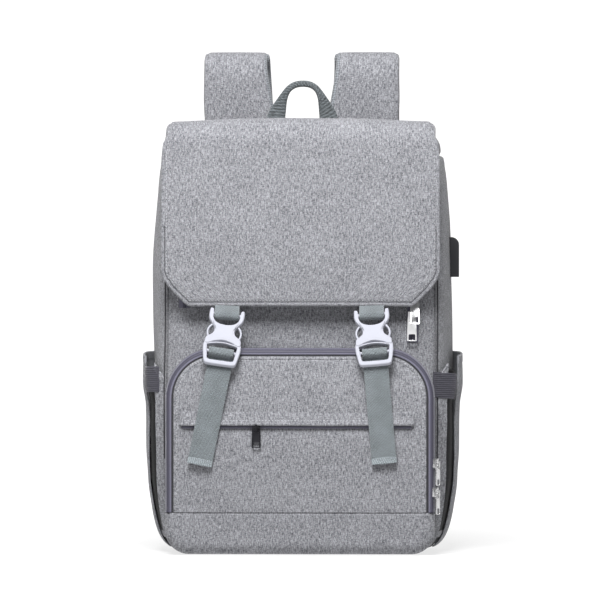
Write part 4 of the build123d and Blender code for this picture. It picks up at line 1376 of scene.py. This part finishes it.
class BAG_OT_buckles(bpy.types.Operator):
    """Mould both side-release buckles: catch, open latch frame and springy arms."""
    bl_idname = "bag.buckles"
    bl_label = "Buckles"

    def execute(self, context):
        for name in SIDES:
            axes = BuckleFrame(name)
            self.catch(name, axes)
            self.latch(name, axes)
            for hand, sign in (("l", -1.0), ("r", 1.0)):
                self.arm(name, hand, sign, axes)
        return {"FINISHED"}

    def finish_piece(self, piece, body, *nodes):
        """Attaches a buckle's piece to its body and hides the CAD nodes it stands for."""
        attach(piece, body)
        if nodes:
            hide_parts(*nodes)

    def catch(self, name, axes):
        """Upper half: two horns with a bar between, a waist, and thin wings over the arms."""
        side = np.array([[17.4, 36.0], [18.0, 31.0], [17.6, 24.5], [13.4, 18.6], [10.8, 14.6], [10.4, 11.0],
                         [12.2, 7.0], [17.6, 3.8], [18.3, 0.5], [18.0, -3.2]])
        right = eased(side, 120)
        left = right * [-1, 1]
        inner = eased([[-17.4, 36.0], [-13.6, 36.0], [-13.5, 30.5], [-13.2, 25.0], [-9.4, 20.4], [0, 18.4],
                       [9.4, 20.4], [13.2, 25.0], [13.5, 30.5], [13.6, 36.0], [17.4, 36.0]], 120)
        low = eased([[-18.0, -3.2], [-14.0, -3.0], [-9.0, -0.6], [0, 1.7], [9.0, -0.6], [14.0, -3.0],
                     [18.0, -3.2]], 120)
        flat = patch(left, right, inner, low, 90, 90)
        u, v = flat[..., 0], flat[..., 1]
        thin = smoothstep(11.2, 11.8, np.abs(u)) * smoothstep(8.5, 7.0, v)
        front = -3.5 - 0.5 * smoothstep(16, 4, np.abs(v - 12)) + 0 * u
        back = 3.5 * (1 - thin) - 2.2 * thin
        plate = moulded_plate(f"buckle_catch_plate_{name}", axes, flat, front, back, "plastic")
        self.finish_piece(plate, "flap", f"buckle_catch_{name}")
        turn = np.linspace(-14.2, 14.2, 24)
        bar = tube(f"buckle_catch_bar_{name}", axes.place(turn, 30.6, 0.0), 2.0, material("plastic"), 14)
        self.finish_piece(bar, "flap")

    def latch(self, name, axes):
        """Lower half: a moulded ring round the opening, and the shoulders that the arms spring from."""
        outline = eased([[0, -24.7], [12.5, -24.7], [16.2, -23.6], [17.4, -17.0], [19.0, -9.0], [19.0, -2.0],
                         [17.9, -0.4],
                         [16.4, -2.4], [0, 0.8], [-16.4, -2.4], [-17.9, -0.4], [-19.0, -2.0], [-19.0, -9.0],
                         [-17.4, -17.0],
                         [-16.2, -23.6], [-12.5, -24.7]], 200, True)
        opening = eased([[0, -20.0], [11.0, -20.0], [13.2, -19.4], [13.8, -15.0], [14.6, -8.0], [15.2, -4.6],
                         [15.2, -4.4],
                         [12.5, -3.2], [0, -0.8], [-12.5, -3.2], [-15.2, -4.4], [-15.2, -4.6], [-14.6, -8.0],
                         [-13.8, -15.0],
                         [-13.2, -19.4], [-11.0, -20.0]], 200, True)
        ring = ring_plate(f"buckle_latch_frame_{name}", axes, outline, opening, 6.0, "plastic")
        self.finish_piece(ring, f"latch_{name}", f"buckle_latch_{name}")
        for hand, sign in (("l", -1.0), ("r", 1.0)):
            path = axes.place(sign * np.array([16.4, 16.2, 15.6]), np.array([-5.0, -1.0, 3.2]),
                              np.array([0.8, 0.8, 0.8]))
            stub = carry(f"buckle_shoulder_{name}_{hand}", resample(path, 8), np.tile(axes.u, (8, 1)),
                         np.tile(axes.w, (8, 1)),
                         band_section(2.6, 3.6), made_of("plastic"), round_end=0.5)
            self.finish_piece(stub, f"latch_{name}")

    def arm(self, name, hand, sign, axes):
        """A springy arm: a flat bar carried along a bow from the shoulder to its tip at the waist."""
        line = eased([[14.8, 4.3], [16.3, 7.0], [17.0, 11.0], [15.6, 15.5], [12.6, 18.6]], 30)
        path = axes.place(sign * line[:, 0], line[:, 1], 0.6)
        along = unit(np.gradient(path, axis=0))
        across = unit(np.cross(along, np.tile(axes.w, (len(along), 1))))
        piece = carry(f"buckle_arm_{name}_{hand}", path, across, np.tile(axes.w, (len(along), 1)),
                      np.array([[0.95, -2.1], [0.95, 2.1], [0.6, 2.5], [-0.6, 2.5], [-0.95, 2.1], [-0.95, -2.1],
                                [-0.6, -2.5], [0.6, -2.5]]),
                      made_of("plastic"), round_end=0.8)
        self.finish_piece(piece, f"arm_{name}_{hand}", f"latch_arm_{name}_{hand}")


TAIL_TURN = {"left": 11.5, "right": -5.0}


class BAG_OT_buckle_webbing(bpy.types.Operator):
    """Thread the webbing: a loop from the flap round each catch bar, and a hanging tail from each latch."""
    bl_idname = "bag.buckle_webbing"
    bl_label = "Buckle webbing"

    def execute(self, context):
        for name in SIDES:
            axes = BuckleFrame(name)
            self.loop(name, axes)
            self.tail(name, axes)
        return {"FINISHED"}

    def band(self, name, path, across, finish="webbing", crown=0.15):
        """Webbing carried along a path with its width along across."""
        along = unit(np.gradient(path, axis=0))
        across = unit(across - along * (across * along).sum(axis=1, keepdims=True))
        return carry(name, path, across, unit(np.cross(along, across)),
                     band_section(sizes().web_width, sizes().web_thick, crown=crown),
                     [material(finish)])

    def loop(self, name, axes):
        """Two layers inside the flap that open round the bar."""
        bar = axes.place(0.0, 30.4, 0.0)
        inside = FLAP_LOW[1] + sizes().flap_thick + 1.2
        ring = 4.1
        turn = np.linspace(-0.35 * math.pi, 1.2 * math.pi, 26)
        y = np.concatenate([[inside + 1.5, inside + 1.5, inside + 0.4], bar[1] + ring * np.cos(turn),
                            [bar[1] - 1.2, inside - 0.2, inside, inside]])
        z = np.concatenate([[278.0, 256.0, 249.0], bar[2] - ring * np.sin(turn),
                            [bar[2] + 3.8, 251.5, 258.0, 278.0]])
        x = np.full_like(y, bar[0])
        path = resample(eased(np.stack([x, y, z], axis=1), 160), 110)
        piece = self.band(f"flap_loop_webbing_{name}", path,
                          np.tile(unit(axes.u * [1, 0, 1]) * 0.5 + np.array([0.5, 0, 0]), (len(path), 1)))
        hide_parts(f"flap_loop_{name}")
        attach(piece, "flap")

    def tail(self, name, axes):
        """From under the ladder bar over its front, down behind the end bar, then hanging with a folded end."""
        inner = [(-7.4, 4.2), (-6.6, 1.0), (-7.0, -2.6), (-8.6, -3.9), (-11.4, -3.9), (-13.4, -2.8),
                 (-14.6, 0.6), (-15.4, 3.6),
                 (-17.5, 4.6), (-21.0, 5.0)]
        start = np.stack([axes.place(0.0, v, w) for v, w in inner])
        end = axes.place(0.0, -26.2, 4.6)
        lean = math.radians(TAIL_TURN[name])
        low = node_box(f"strap_tail_{name}")[0][2]
        length = (end[2] - low - 2.0) / math.cos(lean)
        down = np.linspace(4.0, length, 14)
        hang = np.stack([end[0] - down * math.sin(lean), end[1] + 1.9 * smoothstep(0, length,
                down) + 0.5 * np.sin(down / 26.0),
                         end[2] - down * math.cos(lean)], axis=1)
        path = eased(np.vstack([start, end[None], hang]), 420)
        share = smoothstep(end[2] + 6, end[2] - 24, path[:, 2])[:, None]
        hang_across = np.array([math.cos(lean), 0.0, -math.sin(lean)])
        piece = self.band(f"strap_tail_webbing_{name}", path, axes.u * (1 - share) + hang_across * share)
        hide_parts(f"strap_tail_{name}")
        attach(piece, f"latch_{name}")
        turn = np.linspace(-14.4, 14.4, 20)
        rod = tube(f"buckle_ladder_bar_{name}", axes.place(turn, -10.2, 0.0), 1.7, material("plastic"), 12)
        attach(rod, f"latch_{name}")
        fold = path[-20:] + np.array([0.0, -1.45, 0.0])
        # The folded end takes the brighter webbing copy, a painted highlight.
        turned = self.band(f"strap_tail_fold_{name}", fold, np.tile(hang_across, (len(fold), 1)),
                           "webbing_painted_highlight", 0.3)
        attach(turned, f"latch_{name}")
        seam = np.linspace(-10.5, 10.5, 30)[:, None] * hang_across + path[-17] + np.array([0.0, -2.35, 0.0])
        row = stitches(f"strap_tail_stitches_{name}", seam, facing_front(30), material("thread_dark"), 0.5)
        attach(row, f"latch_{name}")


# Small metal and moulded parts ---------------------------------------------------------------
def softened_copy(node, finish, width=0.35, segments=2, limit=30.0, shift=(0.0, 0.0, 0.0)):
    """A CAD node's shape with its corners joined and rounded by a bevel, moved by shift in millimetres."""
    source = bpy.data.objects[node]
    mesh = source.data.copy()
    mesh.name = f"{node}_rounded"
    mesh.materials.clear()
    mesh.materials.append(material(finish))
    piece = bpy.data.objects.new(f"{node}_rounded", mesh)
    bpy.context.scene.collection.objects.link(piece)
    work = bmesh.new()
    work.from_mesh(mesh)
    bmesh.ops.remove_doubles(work, verts=work.verts, dist=1e-6)
    bmesh.ops.translate(work, verts=work.verts, vec=tuple(v * MM for v in shift))
    bmesh.ops.dissolve_limit(work, angle_limit=math.radians(2.0), verts=work.verts, edges=work.edges)
    work.to_mesh(mesh)
    work.free()
    mesh.polygons.foreach_set("material_index", np.zeros(len(mesh.polygons), np.int32))
    mesh.polygons.foreach_set("use_smooth", np.ones(len(mesh.polygons), bool))
    bevel = piece.modifiers.new("Rounding", "BEVEL")
    bevel.width, bevel.segments, bevel.limit_method, bevel.angle_limit = width * MM, segments, "ANGLE", math.radians(limit)
    bevel.harden_normals = True
    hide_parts(node)
    return piece


BODY_OF_PULL = {"main_upper_slider": "main_slider", "main_lower_slider": "pack",
                "pocket_upper_slider": "pocket_slider",
                "pocket_lower_slider": "pack", "welt_slider": "welt_slider",
                "main_upper_pull": "main_upper_pull",
                "main_lower_pull": "main_lower_pull", "pocket_upper_pull": "pocket_upper_pull",
                "pocket_lower_pull": "pocket_lower_pull", "welt_pull": "welt_pull"}


class BAG_OT_zip_pulls(bpy.types.Operator):
    """Cast the zip sliders and their pulls."""
    bl_idname = "bag.zip_pulls"
    bl_label = "Zip pulls"

    def execute(self, context):
        for node, body in BODY_OF_PULL.items():
            # The pocket pulls take the darker nickel copy, painted shade.
            finish, shift = {"welt": ("gunmetal", (0.0, 1.5, -1.0)), "pocket": ("nickel_painted_shade", (0.0, 0.0, 0.0)),
                             "main": ("nickel", (4.8, 0.0, 0.0))}[node.split("_")[0]]
            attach(softened_copy(node, finish, 0.32, shift=shift), body)
        return {"FINISHED"}


class BAG_OT_charging_port(bpy.types.Operator):
    """Mould the hooded rubber housing of the charging port."""
    bl_idname = "bag.charging_port"
    bl_label = "Charging port"

    def execute(self, context):
        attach(softened_copy("port_housing", "rubber", 1.1, 3, 40.0), "pack")
        return {"FINISHED"}


# Handle, straps and back ---------------------------------------------------------------------
class BAG_OT_haul_handle(bpy.types.Operator):
    """Sew the grab loop: webbing that stands flat at its legs and is folded narrow and thick in its crown."""
    bl_idname = "bag.haul_handle"
    bl_label = "Grab loop"

    def execute(self, context):
        low, high = node_box("haul_handle")
        y = (low[1] + high[1]) / 2
        half = np.array([[29.5, low[2] - 1.0], [28.0, 444.0], [24.5, 454.0], [20.5, 464.5], [15.5, 473.0],
                         [8.5, 477.6], [0.0, 478.6]])
        line = eased(np.vstack([half * [-1, 1], (half * [0.94, 1])[::-1][1:]]), 150)
        path = np.stack([line[:, 0] - 1.0, np.full(len(line), y), line[:, 1]], axis=1)
        along = unit(np.gradient(path, axis=0))
        side = unit(np.cross(along, np.tile([0.0, 1.0, 0.0], (len(along), 1))))
        crown = smoothstep(440, 474, path[:, 2])
        size = np.stack([9.6 - 6.4 * crown, 1.4 + 5.0 * crown], axis=1)
        turn = np.linspace(0, TAU, 29)[:-1]
        power = 0.45
        section = np.stack([np.sign(np.cos(turn)) * np.abs(np.cos(turn)) ** power,
                            np.sign(np.sin(turn)) * np.abs(np.sin(turn)) ** power], 1)
        grid_piece = carry("grab_loop_webbing", path, side, np.tile([0.0, 1.0, 0.0], (len(along), 1)), section,
                           made_of("webbing_dark"), size=size)
        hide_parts("haul_handle")
        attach(grid_piece, "handle")
        self.patch_cloth()
        return {"FINISHED"}

    def patch_cloth(self):
        """The cloth patch under the loop's ends."""
        low, high = node_box("handle_patch")
        x = spread(50, 0.6, low[0], high[0])[:, None]
        y = spread(20, 0.4, low[1], high[1])[None, :]
        middle = on_grid(x, y, high[2] - 0.9 - 0.02 * (y - low[1]) ** 1.3)
        piece = sheet_piece("grab_loop_patch", middle, 1.4, made_of("heather"), rounding=0.7, out=(0, 0, 1))
        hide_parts("handle_patch")
        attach(piece, "pack")


def strap_section(half, half_thick, count=41):
    """Section of a padded strap: crowned foam with a sunk seam near both edges, as points across and out."""
    x = spread(count, 0.55)
    far = np.abs(x) * half
    foam = half_thick * (1 - 0.05 * (far / half) ** 2) * np.sqrt(np.clip(1 - (far / half) ** 15, 0, 1))
    seam = half - 3.2
    groove = 0.9 * np.exp(-((far - seam) / 0.9) ** 2)
    rise = np.maximum(foam - groove, 0)
    rise[0] = rise[-1] = 0
    front = np.stack([x * half, rise], axis=1)
    back = np.stack([x * half, -rise * 0.96], axis=1)[::-1][1:-1]
    return np.vstack([front, back])


class BAG_OT_shoulder_straps(bpy.types.Operator):
    """Pad the shoulder straps: their section carried up from the back, over an arch and down to the ladder."""
    bl_idname = "bag.shoulder_straps"
    bl_label = "Shoulder straps"

    def execute(self, context):
        for name, side in SIDES.items():
            low, high = node_box(f"shoulder_strap_{name}")
            half, thick = (high[0] - low[0]) / 2, 14.0
            middle_x = (low[0] + high[0]) / 2 - (1.0 if side < 0 else 5.0)
            radius = 14.0 + thick / 2
            root_y = high[1] - 49.0
            centre_y, centre_z = root_y + radius, high[2] - 25.0
            turn = np.linspace(0, math.pi, 30)
            rear_y = centre_y + radius
            line = np.vstack([
                np.stack([np.full(20, root_y), np.linspace(397.5, centre_z, 20)], 1)[:-1],
                np.stack([centre_y - radius * np.cos(turn), centre_z + radius * np.sin(turn)], 1),
                np.stack([np.full(30, rear_y), np.linspace(centre_z, 322, 30)], 1)[1:],
                np.stack([np.linspace(rear_y, rear_y - 21.6, 26), np.linspace(320, 191.0, 26)], 1)[1:]])
            line = resample(line, 250)
            run = lengths_along(line)
            inward = (4.5 * smoothstep(475, 405, line[:, 1]) - 2.6 * smoothstep(455, 506,
                    line[:, 1])) * (line[:, 0] < centre_y)
            x = middle_x - side * inward
            path = np.stack([x, line[:, 0], line[:, 1]], axis=1)
            along = unit(np.gradient(path, axis=0))
            across = np.tile([1.0, 0.0, 0.0], (len(along), 1))
            up = unit(np.cross(across, along))
            foot = smoothstep(run[-1] - 60, run[-1] - 4, run)
            width = 1.09 + 0.05 * smoothstep(490, 440, line[:, 1]) * (line[:, 0] < centre_y) - 0.40 * foot
            width = width - 0.07 * smoothstep(455, 506, line[:, 1])
            height = 1.0 - 0.42 * foot + 0.03 * ripple(run, run * 0, 17, 6, 90, 26)
            section = strap_section(half, thick / 2)
            count = 41
            inner_edge = section[:count - 1, 0] * side < -half + 3.4
            slots = np.concatenate([np.where(inner_edge, 1, 0), np.ones(len(section) - count + 1, int)])
            size = np.stack([width, height], axis=1)
            strap = carry(f"shoulder_strap_pad_{name}", path, across, up, section, made_of("heather", "mesh"),
                          slots, size, 2.0)
            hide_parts(f"shoulder_strap_{name}")
            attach(strap, "pack")
            self.rows(name, side, path, up, half, width, thick)
        return {"FINISHED"}

    def rows(self, name, side, path, out, half, width, thick):
        """Stitches in the sunk seams of both edges, on the cloth side."""
        for edge, sign in (("inner", -side), ("outer", side)):
            line = path + np.stack([sign * (half - 3.2) * width, 0 * width, 0 * width],
                                   axis=1) + out * (thick * 0.33)
            keep = slice(6, 225)
            row = stitches(f"shoulder_strap_stitches_{edge}_{name}", line[keep], out[keep], material("thread"),
                           0.6)
            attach(row, "pack")


class BAG_OT_strap_feet(bpy.types.Operator):
    """Fit the ladder buckles, lower webbing and sewn anchors of the shoulder straps."""
    bl_idname = "bag.strap_feet"
    bl_label = "Strap feet"

    def execute(self, context):
        for name, side in SIDES.items():
            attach(softened_copy(f"strap_ladder_{name}", "black_plastic", 0.8, 3), "pack")
            low, high = node_box(f"strap_web_{name}")
            x = (low[0] + high[0]) / 2
            line = eased([[97.8, 181.0], [97.8, 160.0], [97.2, 148.0], [88.0, 104.0], [80.6, 72.0],
                          [79.2, 62.5]], 90)
            path = np.stack([np.full(90, x), line[:, 0], line[:, 1]], axis=1)
            along = unit(np.gradient(path, axis=0))
            across = np.tile([1.0, 0.0, 0.0], (90, 1))
            web = carry(f"strap_webbing_{name}", path, across, unit(np.cross(along, across)),
                        band_section(sizes().web_width, sizes().web_thick),
                        made_of("webbing"))
            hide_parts(f"strap_web_{name}")
            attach(web, "pack")
            self.anchor(name, x)
        return {"FINISHED"}

    def anchor(self, name, x):
        """The sewn anchor: a wedge of cloth folded over the webbing's end, thick at its middle."""
        low, high = node_box(f"strap_anchor_{name}")
        across = spread(50, 0.7)[:, None]
        z = spread(40, 0.7, low[2], high[2])[None, :]
        width = 24.0 - 9.0 * smoothstep(low[2] + 4, high[2], z)
        height = (high[1] - low[1]) * (1 - 0.55 * np.abs(across) ** 3) * smoothstep(low[2] - 6, low[2] + 10, z)
        spot = on_grid(x + across * width, low[1] + 0 * z, z)
        rise = rounded_edge(edge_distance(spot), 4.0) * height
        outer = spot + np.stack([0 * rise, rise, 0 * rise], axis=2)
        inner = spot + np.array([0.0, -0.8, 0.0]) * rounded_edge(edge_distance(spot), 2.0)[..., None]
        piece = skins(f"strap_anchor_cloth_{name}", outer, inner, made_of("heather"))
        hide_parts(f"strap_anchor_{name}")
        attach(piece, "pack")


class BAG_OT_back_padding(bpy.types.Operator):
    """Pad the back: mesh over foam, quilted into panels by a channel down its middle and two across."""
    bl_idname = "bag.back_padding"
    bl_label = "Back padding"

    def execute(self, context):
        low, high = node_box("back_padding")
        x = spread(150, 0.45, low[0], high[0])[:, None]
        z = spread(170, 0.45, low[2], high[2])[None, :]
        mid_z, half_x, half_z, radius = (low[2] + high[2]) / 2, high[0], (high[2] - low[2]) / 2, 30.0
        span_x = np.clip(np.abs(z - mid_z) - (half_z - radius), 0, radius)
        width = half_x - radius + np.sqrt(radius ** 2 - span_x ** 2)
        x = x / half_x * width
        z = np.broadcast_to(z, x.shape)
        edge = np.minimum(width - np.abs(x), half_z - np.abs(z - mid_z))
        channel = np.minimum(np.abs(x) - 13.0, 99)
        lobe = np.minimum(edge, np.maximum(channel, 0))
        for level in (0.36, 0.68):
            lobe = np.minimum(lobe, np.abs(z - (low[2] + level * 2 * half_z)))
        puff = 1 - np.exp(-lobe / 9.0)
        rise = (2.4 + 9.4 * puff) * rounded_edge(edge, 2.5) + 0.25 * ripple(x, z, 41, 6, 80, 24) * puff
        base = np.stack([x, np.full_like(x, low[1]), z], axis=2)
        outer = base + np.stack([0 * rise, rise, 0 * rise], axis=2)
        inner = base + np.stack([0 * rise, -1.0 * rounded_edge(edge, 2.0), 0 * rise], axis=2)
        uv = np.stack([x + 200, z], axis=2)
        pad = skins("back_padding_mesh", outer, inner, made_of("mesh"), uv)
        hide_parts("back_padding")
        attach(pad, "pack")
        return {"FINISHED"}


# Stage ---------------------------------------------------------------------------------------
class BAG_OT_stage(bpy.types.Operator):
    """Set the pale floor and backdrop, the soft studio lights and the camera."""
    bl_idname = "bag.stage"
    bl_label = "Stage"

    def execute(self, context):
        self.backdrop()
        self.lights()
        self.camera()
        scene = context.scene
        scene.view_settings.view_transform = "Standard"
        scene.view_settings.look = "None"
        return {"FINISHED"}

    def backdrop(self):
        """A wide floor that curves up into a wall behind the bag."""
        turn = np.linspace(0, math.pi / 2, 16)
        y = np.concatenate([[-9000.0, -2000.0, 0.0], 2500 + 1500 * np.sin(turn), [4000.0]])
        z = np.concatenate([[0.0, 0.0, 0.0], 1500 - 1500 * np.cos(turn), [6000.0]])
        x = np.linspace(-6000, 6000, 5)[:, None]
        grid = on_grid(x, y[None, :], z[None, :] - 0.3)
        nodes = Nodes("studio_floor")
        place = nodes.add("ShaderNodeSeparateXYZ")
        nodes.link(nodes.add("ShaderNodeTexCoord").outputs["Object"], place.inputs[0])
        # The floor and wall glow, painted light: emission 0.74 near the bag rising to 1.0 from 1.2 m behind, which
        # keeps them white and lights the bag from below and behind.
        glow = nodes.add("ShaderNodeMapRange")
        for socket, value in zip(glow.inputs[1:5], (0.12, 1.2, 0.74, 1.0)):
            socket.default_value = value
        nodes.link(place.outputs[1], glow.inputs[0])
        nodes.shader.inputs["Emission Color"].default_value = (1.0, 1.0, 1.0, 1.0)
        nodes.link(glow.outputs[0], nodes.shader.inputs["Emission Strength"])
        finish = nodes.finish((0.22, 0.22, 0.22), 0.9, Specular_IOR_Level=0.1)
        floor = make_mesh("studio_floor", grid, grid_faces(*grid.shape[:2]), grid_uv(grid), [finish])

    def lights(self):
        """A broad key from the upper front, a weak soft light from the left and a pale sky."""
        world = bpy.data.worlds.new("studio_sky")
        bpy.context.scene.world = world
        world.use_nodes = True
        world.node_tree.nodes["Background"].inputs["Color"].default_value = (1.0, 1.0, 1.0, 1.0)
        world.node_tree.nodes["Background"].inputs["Strength"].default_value = 0.12
        for name, spot, aim, size, power in (
                ("key", (-0.1, -1.15, 1.55), (0, -0.05, 0.3), 0.7, 64.0),
                ("soft_left", (-1.4, -2.6, 0.9), (0, 0, 0.25), 1.4, 3.0)):
            lamp = bpy.data.lights.new(name, "AREA")
            lamp.size, lamp.energy = size, power
            light = bpy.data.objects.new(name, lamp)
            bpy.context.scene.collection.objects.link(light)
            light.location = spot
            light.rotation_euler = (Vector(aim) - Vector(spot)).to_track_quat("-Z", "Y").to_euler()

    def camera(self):
        """A long lens level with the middle of the bag, a little to its right."""
        reach, turn = 5.0, math.radians(1.5)
        aim = Vector((0.0, -0.1, 0.255))
        lens = bpy.data.cameras.new("camera")
        lens.sensor_width, lens.lens = 36.0, 36.0 * reach / 0.6
        lens.clip_end = 100.0
        view = bpy.data.objects.new("camera", lens)
        bpy.context.scene.collection.objects.link(view)
        view.location = aim + Vector((math.sin(turn) * reach, -math.cos(turn) * reach, 0.0))
        view.rotation_euler = (aim - view.location).to_track_quat("-Z", "Y").to_euler()
        bpy.context.scene.camera = view


STEPS = (BAG_OT_finishes, BAG_OT_body_shell, BAG_OT_top_panel, BAG_OT_flap, BAG_OT_main_zip,
         BAG_OT_front_pocket,
         BAG_OT_pocket_zip, BAG_OT_welt, BAG_OT_side_pockets, BAG_OT_buckles, BAG_OT_buckle_webbing,
         BAG_OT_zip_pulls,
         BAG_OT_charging_port, BAG_OT_haul_handle, BAG_OT_shoulder_straps, BAG_OT_strap_feet,
         BAG_OT_back_padding, BAG_OT_stage)


class BAG_PT_panel(bpy.types.Panel):
    """The bag's settings and its steps in order."""
    bl_label = "Backpack"
    bl_space_type = "VIEW_3D"
    bl_region_type = "UI"
    bl_category = "Backpack"

    def draw(self, context):
        for settings in (context.scene.bag_colours, context.scene.bag_sizes):
            box = self.layout.box()
            for name in settings.__annotations__:
                box.prop(settings, name)
        for step in STEPS:
            self.layout.operator(step.bl_idname)


CLASSES = (BagColours, BagSizes, *STEPS, BAG_PT_panel)


def register():
    for cls in CLASSES:
        bpy.utils.register_class(cls)
    bpy.types.Scene.bag_colours = bpy.props.PointerProperty(type=BagColours)
    bpy.types.Scene.bag_sizes = bpy.props.PointerProperty(type=BagSizes)


def unregister():
    del bpy.types.Scene.bag_colours
    del bpy.types.Scene.bag_sizes
    for cls in reversed(CLASSES):
        bpy.utils.unregister_class(cls)


def main():
    register()
    for step in STEPS:
        group, name = step.bl_idname.split(".")
        getattr(getattr(bpy.ops, group), name)()


if __name__ == "__main__":
    main()
